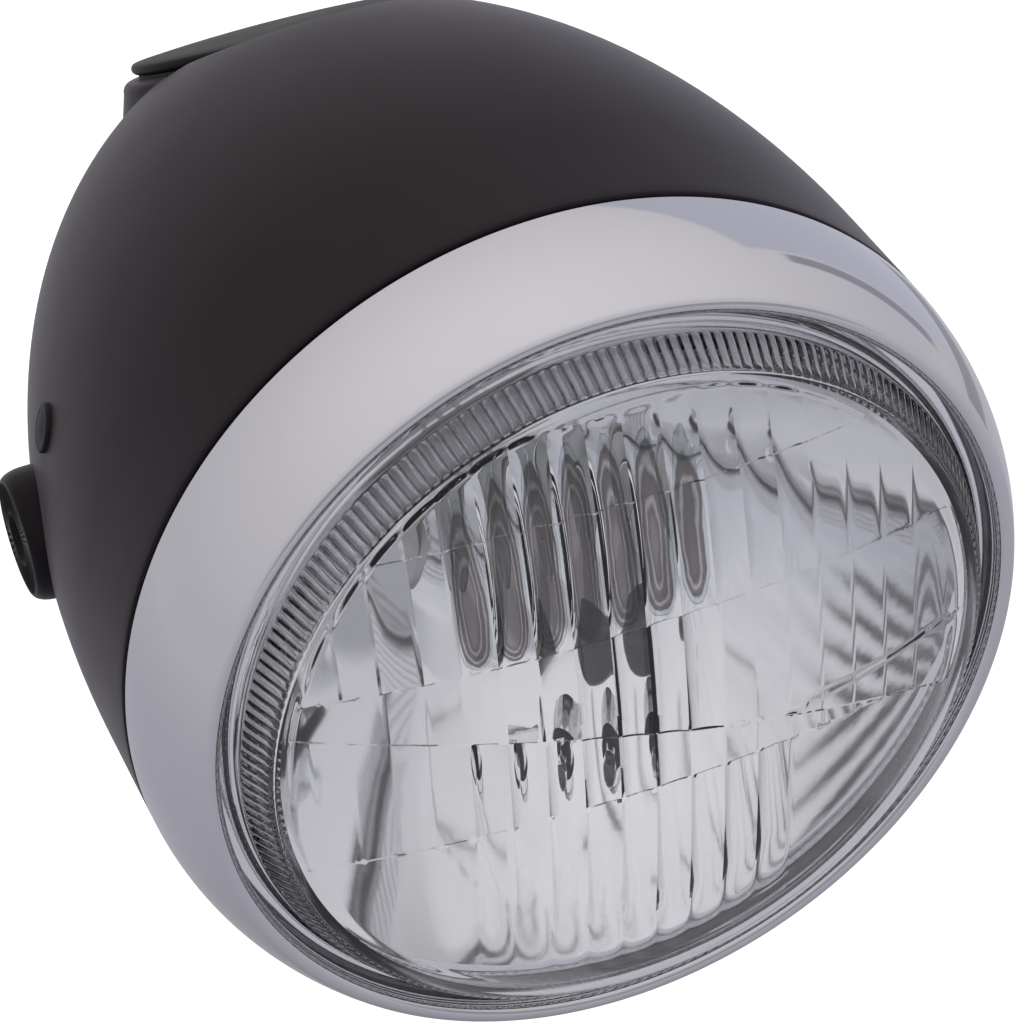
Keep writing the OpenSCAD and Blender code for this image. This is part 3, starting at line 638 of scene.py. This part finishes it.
def prism_relief(x, z, pitch):
    """Height of the prisms on the back of the glass at a place on the lens, in millimetres."""
    column, u = prism_cell(x, pitch)
    rib = 1 - u * u
    radius = math.hypot(x, z)
    if z > UPPER_STEP:
        if column < -5:
            high = 0.35 + 0.35 * rib + 0.2 * u
        elif column < 5:
            oval = math.sqrt(max(0.0, 1 - ((z - 44.5) / 24.5) ** 2))
            high = 0.3 + UPPER_RIBS[column + 5] * rib * oval
        else:
            high = 0.3 + 0.14 * (1 - u ** 8)
        if z > TOP_STEP:
            high += 0.22
    elif z + SLANT * x - SLANT_STEP > 0:
        if column < -3:
            high = 0.55 + 0.16 * rib + 0.12 * u * math.sin(2.3 * column)
        elif column < 2:
            high = 0.5 + MIDDLE_RIBS[column + 3] * rib
        else:
            high = 0.3 + 0.06 * rib + 0.35 * (ramp(x, 60, 68) * ramp(z, -7, -4))
            if z < -10 + 0.16 * (x - 37):
                high += 0.3
    elif z > LOWER_STEP:
        high = 0.25 + (0.15 if column >= 1 else 0.85 if column > -6 else 0.3) * rib
    else:
        foot = 1 - ramp(radius, 50, 68)
        if column < -5:
            high = 0.2 + 0.15 * rib * foot
        elif column < 4:
            high = 0.2 + 0.55 * foot * rib
        else:
            high = 0.22
    return high * (1 - ramp(radius, 70.6, 72.8))


# How far up the wall of the lens its rings lie, as parts of the way to the face
WALL_RINGS = (0.1, 0.15, 0.18, 0.195, 0.22, 0.26, 0.32, 0.45, 0.6, 0.73, 0.8, 0.85, 0.89, 0.915, 0.93, 0.95)


def flute_height(t, u):
    """How high a flute stands, from 0 to 1, at a height up the wall and a place across it."""
    (foot, foot_round), (tip, tip_round) = (0.18, 0.14), (0.935, 0.13)
    rise = min(1.0, max(0.0, (t - foot) / foot_round))
    fall = min(1.0, max(0.0, (tip - t) / tip_round))
    rib = (math.sqrt(1 - 0.9 * min(1.0, u * u)) - 0.316) / 0.684
    return rib * (math.sqrt(1 - (1 - rise) ** 2) * math.sqrt(1 - (1 - fall) ** 2))


def lens_body(flutes, depth, face_r):
    """The outside of the glass: flange, fluted wall and smooth domed face, open at the back."""
    dome_h, face_b = 9.6, LENS_B - 9.8
    dome_r = (face_r ** 2 + dome_h ** 2) / (2 * dome_h)
    centre = face_b - dome_h + dome_r
    bevel = 0.4
    flange = [(MIRROR_R, LENS_BACK_B), (FLANGE_R - bevel, LENS_BACK_B), (FLANGE_R, LENS_BACK_B - bevel),
              (FLANGE_R, LENS_B + bevel), (FLANGE_R - bevel, LENS_B), (WALL_R + 1.6, LENS_B)]
    root = [(WALL_R + 0.75, LENS_B - 0.12), (WALL_R + 0.2, LENS_B - 0.45)]
    wall = [(WALL_R + (face_r - WALL_R) * t, LENS_B + (face_b - LENS_B) * t) for t in WALL_RINGS]
    edge = arc(face_r - 0.7, face_b + 0.62, 0.7, 10, -80, 5)
    radii = [face_r - 0.9 - 1.6 * i / 3 for i in range(1, 4)]
    radii += [(face_r - 2.5) * (1 - i / 9) ** 1.2 for i in range(1, 10)]
    face = [(r, centre - math.sqrt(dome_r ** 2 - r ** 2)) for r in radii]
    bm = spun(flange + root + wall + edge + face, flutes * 6, closed=False)
    # Layers for the painted shade in the flute valleys and the painted reflection over the strong pillows
    painted_mark = bm.verts.layers.float.new("groove_shade")
    bm.verts.layers.float.new("pillow_reflection")
    for vert in bm.verts:
        height = vert.co.z / MM
        radius = math.hypot(vert.co.x, vert.co.y) / MM
        t = (height - LENS_B) / (face_b - LENS_B)
        if t < 0.001 or radius < face_r - 2.6:
            continue
        rib = flute_height(t, across_tooth(vert, flutes))
        rise = depth * (rib - 1) * min(1.0, t / 0.15)
        # Painted shade in the valleys between the flutes, darkest where a flute stands lowest
        if 0.16 < t < 0.94:
            vert[painted_mark] = max(0.0, 1 - rib) ** 2
        if t > 0.9:
            rise *= min(1.0, max(0.0, (radius - face_r + 2.5) / 2.2))
        scale = (radius + rise) / radius
        vert.co.x *= scale
        vert.co.y *= scale
    return bm, centre, dome_r


def prism_back(pitch, centre, dome_r, edge=73.3):
    """The inside of the glass: upright prisms and steps over the dome, out to a clean round edge."""
    across, rows, margin = 14, 130, 0.3
    first = math.ceil((-edge - PRISM_SHIFT) / pitch * across)
    columns = [PRISM_SHIFT + pitch * i / across for i in range(first, -first + 1)]
    columns = [x for x in columns if abs(x) < edge - margin]
    for side in (-1, 1):
        columns += [side * edge * math.cos(math.radians(a)) for a in (0, 1.2, 2.2, 3.3, 4.4)]
    columns.sort()
    bm = bmesh.new()
    # The painted shade layer stays empty on the back; the painted reflection layer is filled below
    bm.verts.layers.float.new("groove_shade")
    pillow_reflection = bm.verts.layers.float.new("pillow_reflection")
    bmesh.ops.create_grid(bm, x_segments=len(columns) - 1, y_segments=rows, size=1.0)
    for vert in bm.verts:
        x = columns[round((vert.co.x + 1) / 2 * (len(columns) - 1))]
        v = 0.45 * vert.co.y + 0.55 * math.sin(math.pi / 2 * vert.co.y)
        vert.co = Vector((x, v * math.sqrt(max(0.0, edge ** 2 - x ** 2)), 0))
    bmesh.ops.remove_doubles(bm, verts=bm.verts, dist=0.002)
    glass, riser = 4.0, 0.14
    for (px, pz), (nx, nz) in STEP_LINES:
        for shift in (-riser, riser):
            bmesh.ops.bisect_plane(bm, geom=bm.verts[:] + bm.edges[:] + bm.faces[:], dist=0.02,
                                   plane_co=(px, pz + shift, 0), plane_no=(nx, nz, 0))
    for vert in bm.verts:
        x, z = vert.co.x, vert.co.y
        back = centre - math.sqrt((dome_r - glass) ** 2 - math.hypot(x, z) ** 2)
        # Weight of the painted reflection bands at this place
        vert[pillow_reflection] = reflection_band_depth(x, z, pitch)
        vert.co = Vector((x, -z, back + prism_relief(x, z, pitch))) * MM
    return bm


class LAMP_OT_lens(bpy.types.Operator):
    """Builds the pressed glass with its fluted wall and prisms"""
    bl_idname = "lamp.lens"
    bl_label = "Lens"

    def execute(self, context):
        sizes = context.scene.lamp_sizes
        bm, centre, dome_r = lens_body(sizes.flute_count, sizes.flute_depth / MM, sizes.face_radius / MM)
        merge(bm, prism_back(sizes.prism_pitch / MM, centre, dome_r))
        rings = [e for e in bm.edges if e.is_boundary]
        for face in bmesh.ops.bridge_loops(bm, edges=rings)["faces"]:
            face.material_index = 1
        bmesh.ops.recalc_face_normals(bm, faces=bm.faces)
        obj = to_object(bm, "glass_lens", along_beam(), [kit("glass"), kit("frosted")], 24)
        settle(obj, "lens_glass", "lens")
        return {"FINISHED"}


# ---------------------------------------------------------------- mirror and bulbs

def mirror_depth(r):
    """Station of the mirror at a radius, in millimetres."""
    focal = bpy.context.scene.lamp_sizes.focal / MM
    return MIRROR_B + (MIRROR_R ** 2 - r ** 2) / (4 * focal)


class LAMP_OT_reflector(bpy.types.Operator):
    """Builds the parabolic mirror with its flange, collar and pilot sleeve"""
    bl_idname = "lamp.reflector"
    bl_label = "Reflector"

    def execute(self, context):
        hole, crease = 18.5, 40
        radii = [hole + (MIRROR_R - hole) * i / 60 for i in range(61)]
        section = [(hole, 36.8), (hole, 33.8)] + [(r, mirror_depth(r)) for r in radii]
        section += [(FLANGE_R, MIRROR_B), (FLANGE_R, MIRROR_B + 1), (78.4, MIRROR_B + 1)]
        section += [(r + 1.0, mirror_depth(r) + 0.9) for r in reversed(radii[6:])]
        section += [(22.8, 35.8), (22.8, 42.8), (21.8, 42.8), (21.8, 36.8)]
        obj = to_object(spun(section, 192), "mirror_bowl", along_beam(), kit("mirror"), crease)
        pilot_r, place = 6.0, along_beam(mirror_depth(PILOT_DOWN), PILOT_DOWN)
        carve(obj, drill(pilot_r, -9, 13, 64), place)
        carve(obj, spun([(pilot_r, -4), (7.2, 0.9), (7.2, 12), (pilot_r, 12)], 64), place, "UNION")
        finish_carving(obj, crease)
        settle(obj, "silvered_mirror", "reflector")
        return {"FINISHED"}


class LAMP_OT_bulbs(bpy.types.Operator):
    """Builds the main bulb and the pilot bulb"""
    bl_idname = "lamp.bulbs"
    bl_label = "Bulbs"

    def execute(self, context):
        r = context.scene.lamp_sizes.bulb_radius / MM
        base = [(0, -4), (16.5, -4), (16.5, 0), (21.5, 0), (21.5, 1.2), (16.5, 1.2), (16.5, 11), (0, 11)]
        bm = spun(base, 96, closed=False)
        for turn in (0, 90, 180):
            made = box(bm, (8, -4, 10), (8.8, 4, 20))
            bmesh.ops.rotate(bm, verts=made, cent=(0, 0, 0),
                             matrix=Matrix.Rotation(math.radians(turn), 3, "Z"))
        obj = to_object(bm, "bulb_base", along_beam(BULB_B), kit("zinc"), 35)
        settle(obj, "zinc_steel", "bulb")

        glass = [(0, -54)] + arc(r - 4, -50, 4, -90, 0, 8) + [(r, -45), (r, -4.5)]
        inside = [(r - 1, -4.5), (r - 1, -49), (r - 4.6, -52.8), (0, -53)]
        obj = to_object(spun(glass + inside, 96, closed=False), "bulb_envelope", along_beam(BULB_B),
                        kit("envelope"), 40)
        settle(obj, "bulb_glass")

        cap = [(0, -54.04)] + arc(r - 4, -50, 4.04, -90, 0, 8) + [(r + 0.04, -43), (r - 0.5, -43)]
        cap += [(r - 0.5, -50), (r - 4, -53.5), (0, -53.5)]
        obj = to_object(spun(cap, 96, closed=False), "bulb_dark_cap", along_beam(BULB_B), kit("cap"), 40)
        settle(obj, "black_plastic")

        wire = 0.35
        bm = drill(0.9, -40, -30, 24)
        merge(bm, spun([(3.2, -42), (4.6, -42), (5.4, -28), (5.0, -28), (3.0, -41)], 48))
        for x in (-3.5, 0, 3.5):
            box(bm, (x - wire, -wire, -34), (x + wire, wire, -4))
        obj = to_object(bm, "bulb_shield", along_beam(BULB_B), kit("tungsten"), 35)
        settle(obj, "zinc_steel")

        place = along_beam(mirror_depth(PILOT_DOWN + 6) - 1, PILOT_DOWN)
        pilot = arc(0, -5, 4, -90, 50, 12) + [(3, 0), (3, 7.8), (0, 7.8)]
        obj = to_object(spun(pilot, 48, closed=False), "pilot_lamp", place, kit("envelope"), 40)
        settle(obj, "bulb_glass", "pilot_bulb")
        return {"FINISHED"}


# ---------------------------------------------------------------- side mounts and small pieces

class LAMP_OT_bosses(bpy.types.Operator):
    """Builds the two threaded side bosses with their serrated faces"""
    bl_idname = "lamp.bosses"
    bl_label = "Side Bosses"

    def execute(self, context):
        count, tooth_depth = context.scene.lamp_sizes.serrations, 0.55
        proud, seat, end = 5.0, 87.86, 70.71
        face = shell_radius(SETBACK) + proud
        pitch, root, crest = 1.5, 5.45, 5.0
        start = face - 1.0
        section = []
        for i in range(int((start - end) / pitch)):
            section += [(root, start - pitch * i), (crest, start - pitch * (i + 0.5))]
        section += [(root, end), (7, end), (8, end + 1), (8, seat), (14.5, seat)]
        for turn in (math.radians(9 * i) for i in range(11)):
            section.append((12.3 + 2.2 * math.cos(turn), face - proud * (1 - math.sin(turn))))
        section += [(r, face) for r in (11.9, 10.4, 9.2, 8.0, 6.9, 5.9)]
        for side, name in ((-1, "left_boss"), (1, "right_boss")):
            bm = spun(section, count * 6)
            for vert in bm.verts:
                radius, height = math.hypot(vert.co.x, vert.co.y) / MM, vert.co.z / MM
                if height > face - 0.1 and 6.3 < radius < 12.0:
                    vert.co.z -= tooth_depth * MM * abs(across_tooth(vert, count))
            obj = to_object(bm, name + "_serrated", sideways(side), kit("boss"), 30)
            settle(obj, "boss_black", name)
        return {"FINISHED"}


class LAMP_OT_plug(bpy.types.Operator):
    """Builds the small plug above the left boss"""
    bl_idname = "lamp.plug"
    bl_label = "Side Plug"

    def execute(self, context):
        sizes = context.scene.lamp_sizes
        b, above_level = 69.0, math.radians(18.7)
        flatness = (sizes.rim_radius / sizes.shell_dome) ** 2
        slope = flatness * (b - sizes.shell_straight / MM) / shell_radius(b)
        place = (Matrix.Translation((0, (b - SETBACK) * MM, 0))
                 @ Matrix.Rotation(above_level - math.pi / 2, 4, "Y")
                 @ Matrix.Translation((0, 0, shell_radius(b) * MM))
                 @ Matrix.Rotation(-math.atan(slope), 4, "X"))
        head = [(0, -6.25), (2.5, -6.25), (4.7, -3.65), (4, -3.05), (4, -0.25), (5.3, -0.25)]
        head += arc(4.75, 0.55, 0.55, 0, 80, 6)
        head += [(4.2, 1.14), (3.9, 1.05), (3.0, 1.25), (1.5, 1.4), (0, 1.45)]
        obj = to_object(spun(head, 96, closed=False), "snap_plug", place, kit("moulding"), 45)
        settle(obj, "black_plastic", "side_plug")
        return {"FINISHED"}


class LAMP_OT_grommet(bpy.types.Operator):
    """Builds the cable grommet at the back"""
    bl_idname = "lamp.grommet"
    bl_label = "Cable Grommet"

    def execute(self, context):
        lip = [(7, 7), (7, -4.8), (14.6, -4.8), (15.6, -1.95), (11.85, -1.95), (11.85, 0.15), (15.3, 0.15)]
        lip += arc(14.6, 1.15, 1.0, -45, 90, 8)
        lip += [(13, 2.3), (11.2, 2.7), (10.2, 3.4), (9.4, 4.6), (8.9, 6.6)]
        lip += arc(8.4, 6.5, 0.5, 0, 90, 4)
        obj = to_object(spun(lip, 96), "rubber_grommet", along_beam(REAR_B, CABLE_DOWN), kit("rubber"), 45)
        settle(obj, "black_rubber", "cable_grommet")
        return {"FINISHED"}


class LAMP_OT_screw(bpy.types.Operator):
    """Builds the slotted rim screw under the shell"""
    bl_idname = "lamp.screw"
    bl_label = "Rim Screw"

    def execute(self, context):
        b, seat, end, thread_r = 10.0, 94.85, 81.6, 2.5
        place = Matrix.Translation((0, (b - SETBACK) * MM, 0)) @ Matrix.Rotation(math.pi, 4, "X")
        section = [(0, end)]
        section += [(thread_r - (0.25 if i % 2 else 0), end + 0.8 * i) for i in range(11)]
        section += [(thread_r, seat), (5, seat)] + arc(3.8, seat + 1.2, 1.2, 0, 90, 8) + [(0, seat + 2.6)]
        obj = to_object(spun(section, 64, closed=False), "slotted_screw", place, kit("zinc"), 40)
        bm = bmesh.new()
        box(bm, (-0.6, -8, seat + 1.4), (0.6, 8, seat + 4))
        carve(obj, bm, place)
        finish_carving(obj, 40)
        settle(obj, "zinc_steel", "rim_screw")
        return {"FINISHED"}


class LAMP_OT_fittings(bpy.types.Operator):
    """Gives the seals, clips, nuts and brackets their finishes"""
    bl_idname = "lamp.fittings"
    bl_label = "Fittings"

    finishes = {
        "rubber": ("cover_seal", "rim_seal", "bulb_boot"),
        "sealant": ("lens_gasket",),
        "zinc": ("cover_bridge", "cover_nut", "rim_tongue", "rim_bracket", "rim_nut",
                 "left_boss_washer", "right_boss_washer", "left_boss_nut", "right_boss_nut"),
        "spring": ("rim_clips", "bulb_lock_ring"),
        "moulding": ("pilot_holder",),
    }

    def execute(self, context):
        for name, nodes in self.finishes.items():
            for node in nodes:
                slots = NODES[node].material_slots
                for slot in slots:
                    slot.material = kit(name)
                if not slots:
                    NODES[node].data.materials.append(kit(name))
        return {"FINISHED"}


# ---------------------------------------------------------------- stage

def blend_by_ray(tree, rays, plain, seen):
    """Shows one shader to the named kinds of ray and another to the rest."""
    path = tree.nodes.new("ShaderNodeLightPath")
    level = path.outputs[rays[0]]
    for ray in rays[1:]:
        level = reckon(tree, "MAXIMUM", level, path.outputs[ray])
    mix = tree.nodes.new("ShaderNodeMixShader")
    tree.links.new(level, mix.inputs["Fac"])
    tree.links.new(plain, mix.inputs[1])
    tree.links.new(seen, mix.inputs[2])
    return mix.outputs[0]


def white_room():
    """A white room that metal and glass see as light grey walls below a white ceiling."""
    world = bpy.data.worlds.new("white_room")
    bpy.context.scene.world = world
    world.use_nodes = True
    tree = world.node_tree
    plain = tree.nodes["Background"]
    plain.inputs["Color"].default_value = (1, 1, 1, 1)
    plain.inputs["Strength"].default_value = 0.45
    backdrop = tree.nodes.new("ShaderNodeBackground")
    backdrop.inputs["Color"].default_value = (1, 1, 1, 1)
    walls = tree.nodes.new("ShaderNodeBackground")
    place = tree.nodes.new("ShaderNodeTexCoord")
    split = tree.nodes.new("ShaderNodeSeparateXYZ")
    tree.links.new(place.outputs["Generated"], split.inputs["Vector"])
    tone = tone_ramp(tree, split.outputs["Z"], [(0.0, (0.66, 0.66, 0.685)), (0.5, (0.79, 0.785, 0.8)),
                                                (0.87, (0.93, 0.92, 0.93)), (1.0, (1, 0.99, 1))])
    tree.links.new(tone, walls.inputs["Color"])
    seen = blend_by_ray(tree, ("Is Glossy Ray", "Is Transmission Ray"), plain.outputs[0], walls.outputs[0])
    tree.links.new(blend_by_ray(tree, ("Is Camera Ray",), seen, backdrop.outputs[0]),
                   tree.nodes["World Output"].inputs["Surface"])


def pale_floor():
    """A pale floor that keeps the lamp's shadow, and that metal and glass see with a painted shadow, darker
    close to the lamp.
    """
    mat = finish("pale_floor", (0.6, 0.6, 0.6), 0.95, Specular_IOR_Level=0.1)
    tree = mat.node_tree
    glow = tree.nodes.new("ShaderNodeEmission")
    glow.inputs["Strength"].default_value = 0.67
    lit = tree.nodes.new("ShaderNodeAddShader")
    tree.links.new(tree.nodes["Principled BSDF"].outputs[0], lit.inputs[0])
    tree.links.new(glow.outputs[0], lit.inputs[1])
    painted_shadow_glow = tree.nodes.new("ShaderNodeEmission")
    place = tree.nodes.new("ShaderNodeTexCoord")
    flat = tree.nodes.new("ShaderNodeMapping")
    flat.inputs["Scale"].default_value = (0.5, 0.5, 0)
    away = tree.nodes.new("ShaderNodeVectorMath")
    away.operation = "LENGTH"
    tree.links.new(place.outputs["Object"], flat.inputs["Vector"])
    tree.links.new(flat.outputs["Vector"], away.inputs[0])
    # Painted shadow for reflections: the floor that metal and glass see grows darker towards its middle, under
    # the lamp
    tone = tone_ramp(tree, away.outputs["Value"], [(0.06, (0.36, 0.36, 0.39)), (0.15, (0.47, 0.47, 0.52)),
                                                   (0.27, (0.52, 0.52, 0.58)), (0.5, (0.59, 0.59, 0.63)),
                                                   (1.0, (0.66, 0.66, 0.685))])
    tree.links.new(tone, painted_shadow_glow.inputs["Color"])
    seen = blend_by_ray(tree, ("Is Glossy Ray", "Is Transmission Ray"), tree.nodes["Principled BSDF"].outputs[0],
                        painted_shadow_glow.outputs[0])
    tree.links.new(blend_by_ray(tree, ("Is Camera Ray",), seen, lit.outputs[0]),
                   tree.nodes["Material Output"].inputs["Surface"])
    bm = bmesh.new()
    bmesh.ops.create_grid(bm, x_segments=1, y_segments=1, size=8.0)
    to_object(bm, "floor", Matrix.Translation((0, 0, -0.36)), mat)


def soft_edges(tree, soft):
    """A value that is 1 over a card and fades to 0 at its four edges."""
    place = tree.nodes.new("ShaderNodeUVMap")
    split = tree.nodes.new("ShaderNodeSeparateXYZ")
    tree.links.new(place.outputs["UV"], split.inputs["Vector"])
    level = None
    for axis in "XY":
        for start, end in ((0.0, soft), (1.0, 1.0 - soft)):
            span = tree.nodes.new("ShaderNodeMapRange")
            span.interpolation_type = "SMOOTHSTEP"
            span.inputs["From Min"].default_value = start
            span.inputs["From Max"].default_value = end
            tree.links.new(split.outputs[axis], span.inputs["Value"])
            fade = span.outputs["Result"]
            level = reckon(tree, "MULTIPLY", level, fade) if level else fade
    return level


def card(name, azimuth, elevation, distance, colour, soft):
    """A plain card that only metal and glass see, spanning two angles each way from the lamp."""
    mat = bpy.data.materials.new(name)
    mat.use_nodes = True
    tree = mat.node_tree
    tree.nodes.remove(tree.nodes["Principled BSDF"])
    glow = tree.nodes.new("ShaderNodeEmission")
    glow.inputs["Color"].default_value = (*colour, 1)
    clear = tree.nodes.new("ShaderNodeBsdfTransparent")
    mix = tree.nodes.new("ShaderNodeMixShader")
    tree.links.new(clear.outputs[0], mix.inputs[1])
    tree.links.new(glow.outputs[0], mix.inputs[2])
    tree.links.new(mix.outputs[0], tree.nodes["Material Output"].inputs["Surface"])
    tree.links.new(soft_edges(tree, soft), mix.inputs["Fac"])
    middle = math.radians(sum(azimuth) / 2)
    width = 2 * distance * math.tan(math.radians((azimuth[1] - azimuth[0]) / 2))
    low, high = (distance * math.tan(math.radians(e)) for e in elevation)
    bm = bmesh.new()
    bm.loops.layers.uv.new("UVMap")
    bmesh.ops.create_grid(bm, x_segments=1, y_segments=1, size=0.5, calc_uvs=True)
    bmesh.ops.scale(bm, vec=(width, high - low, 1), verts=bm.verts)
    centre = (distance * math.sin(middle), distance * math.cos(middle), (low + high) / 2)
    place = Matrix.Translation(centre) @ Matrix.Rotation(-middle, 4, "Z")
    obj = to_object(bm, name, place @ Matrix.Rotation(math.pi / 2, 4, "X"), mat)
    obj.visible_camera = obj.visible_diffuse = obj.visible_shadow = False


def soft_light(name, place, size, power):
    """A large area lamp aimed at the headlight, which metal and glass don't mirror."""
    data = bpy.data.lights.new(name, "AREA")
    data.shape, data.size, data.size_y, data.energy = "RECTANGLE", size[0], size[1], power
    obj = bpy.data.objects.new(name, data)
    bpy.context.scene.collection.objects.link(obj)
    obj.location = place
    obj.rotation_mode = "QUATERNION"
    obj.rotation_quaternion = (-Vector(place)).to_track_quat("-Z", "Y")
    obj.visible_glossy = obj.visible_transmission = False


def photo_camera():
    """The camera at the photograph's viewing angle."""
    data = bpy.data.cameras.new("camera")
    data.sensor_width, data.lens = 36.0, 131.49
    data.shift_x, data.shift_y = -0.00315, -0.0764
    data.clip_start, data.clip_end = 0.05, 20
    camera = bpy.data.objects.new("camera", data)
    bpy.context.scene.collection.objects.link(camera)
    right, up = (0.92208, -0.38160, -0.06435), (0.27585, 0.53151, 0.80087)
    back = (-0.27141, -0.75622, 0.59537)
    turn = Matrix((right, up, back)).transposed()
    camera.matrix_world = Matrix.Translation((-0.2087, -0.6274, 0.4829)) @ turn.to_4x4()
    bpy.context.scene.camera = camera


# Angles round from +Y and up from level in degrees, distance in metres, colour and softness
CARDS = {
    "blue_side_card": ((24, 71), (-22, 38), 0.72, (0.6, 0.615, 0.7), 0.05),
    "dark_side_strip": ((71.5, 75.5), (-8, 29), 0.71, (0.36, 0.36, 0.41), 0.1),
    "dark_low_strip": ((44, 78), (-23, -15), 0.7, (0.36, 0.36, 0.4), 0.12),
    "dark_front_strip": ((130, 215), (-14, 12), 1.3, (0.42, 0.42, 0.45), 0.2),
}
# Place and size in metres, power in watts
LIGHTS = {
    "key": ((-0.9, -1.1, 1.3), (1.4, 1.4), 12),
    "fill": ((1.4, -0.7, 0.7), (1.4, 1.4), 6),
    "top": ((0.1, 0.9, 1.3), (1.4, 1.0), 9),
}


class LAMP_OT_stage(bpy.types.Operator):
    """Sets the floor, the soft lights, the white room and the camera"""
    bl_idname = "lamp.stage"
    bl_label = "Stage"

    def execute(self, context):
        context.scene.view_settings.view_transform = "Standard"
        white_room()
        pale_floor()
        for name, values in CARDS.items():
            card(name, *values)
        for name, values in LIGHTS.items():
            soft_light(name, *values)
        photo_camera()
        return {"FINISHED"}


PIECES = (LAMP_OT_stage, LAMP_OT_shell, LAMP_OT_cover, LAMP_OT_rim, LAMP_OT_lens, LAMP_OT_reflector,
          LAMP_OT_bulbs, LAMP_OT_bosses, LAMP_OT_plug, LAMP_OT_grommet, LAMP_OT_screw, LAMP_OT_fittings)


class VIEW3D_PT_lamp(bpy.types.Panel):
    """Lists the sizes, colours and pieces of the headlight"""
    bl_label = "Headlight"
    bl_idname = "VIEW3D_PT_lamp"
    bl_space_type = "VIEW_3D"
    bl_region_type = "UI"
    bl_category = "Headlight"

    def draw(self, context):
        layout = self.layout
        for group in (context.scene.lamp_sizes, context.scene.lamp_colours):
            column = layout.column(align=True)
            for name in group.__annotations__:
                column.prop(group, name)
        column = layout.column(align=True)
        for piece in PIECES:
            column.operator(piece.bl_idname)


CLASSES = (LampSizes, LampColours, *PIECES, VIEW3D_PT_lamp)


def register():
    for cls in CLASSES:
        bpy.utils.register_class(cls)
    bpy.types.Scene.lamp_sizes = PointerProperty(type=LampSizes)
    bpy.types.Scene.lamp_colours = PointerProperty(type=LampColours)


def unregister():
    del bpy.types.Scene.lamp_colours
    del bpy.types.Scene.lamp_sizes
    for cls in reversed(CLASSES):
        bpy.utils.unregister_class(cls)


def main():
    register()
    bpy.ops.lamp.stage()
    bpy.ops.lamp.shell()
    bpy.ops.lamp.cover()
    bpy.ops.lamp.rim()
    bpy.ops.lamp.lens()
    bpy.ops.lamp.reflector()
    bpy.ops.lamp.bulbs()
    bpy.ops.lamp.bosses()
    bpy.ops.lamp.plug()
    bpy.ops.lamp.grommet()
    bpy.ops.lamp.screw()
    bpy.ops.lamp.fittings()


if __name__ == "__main__":
    main()
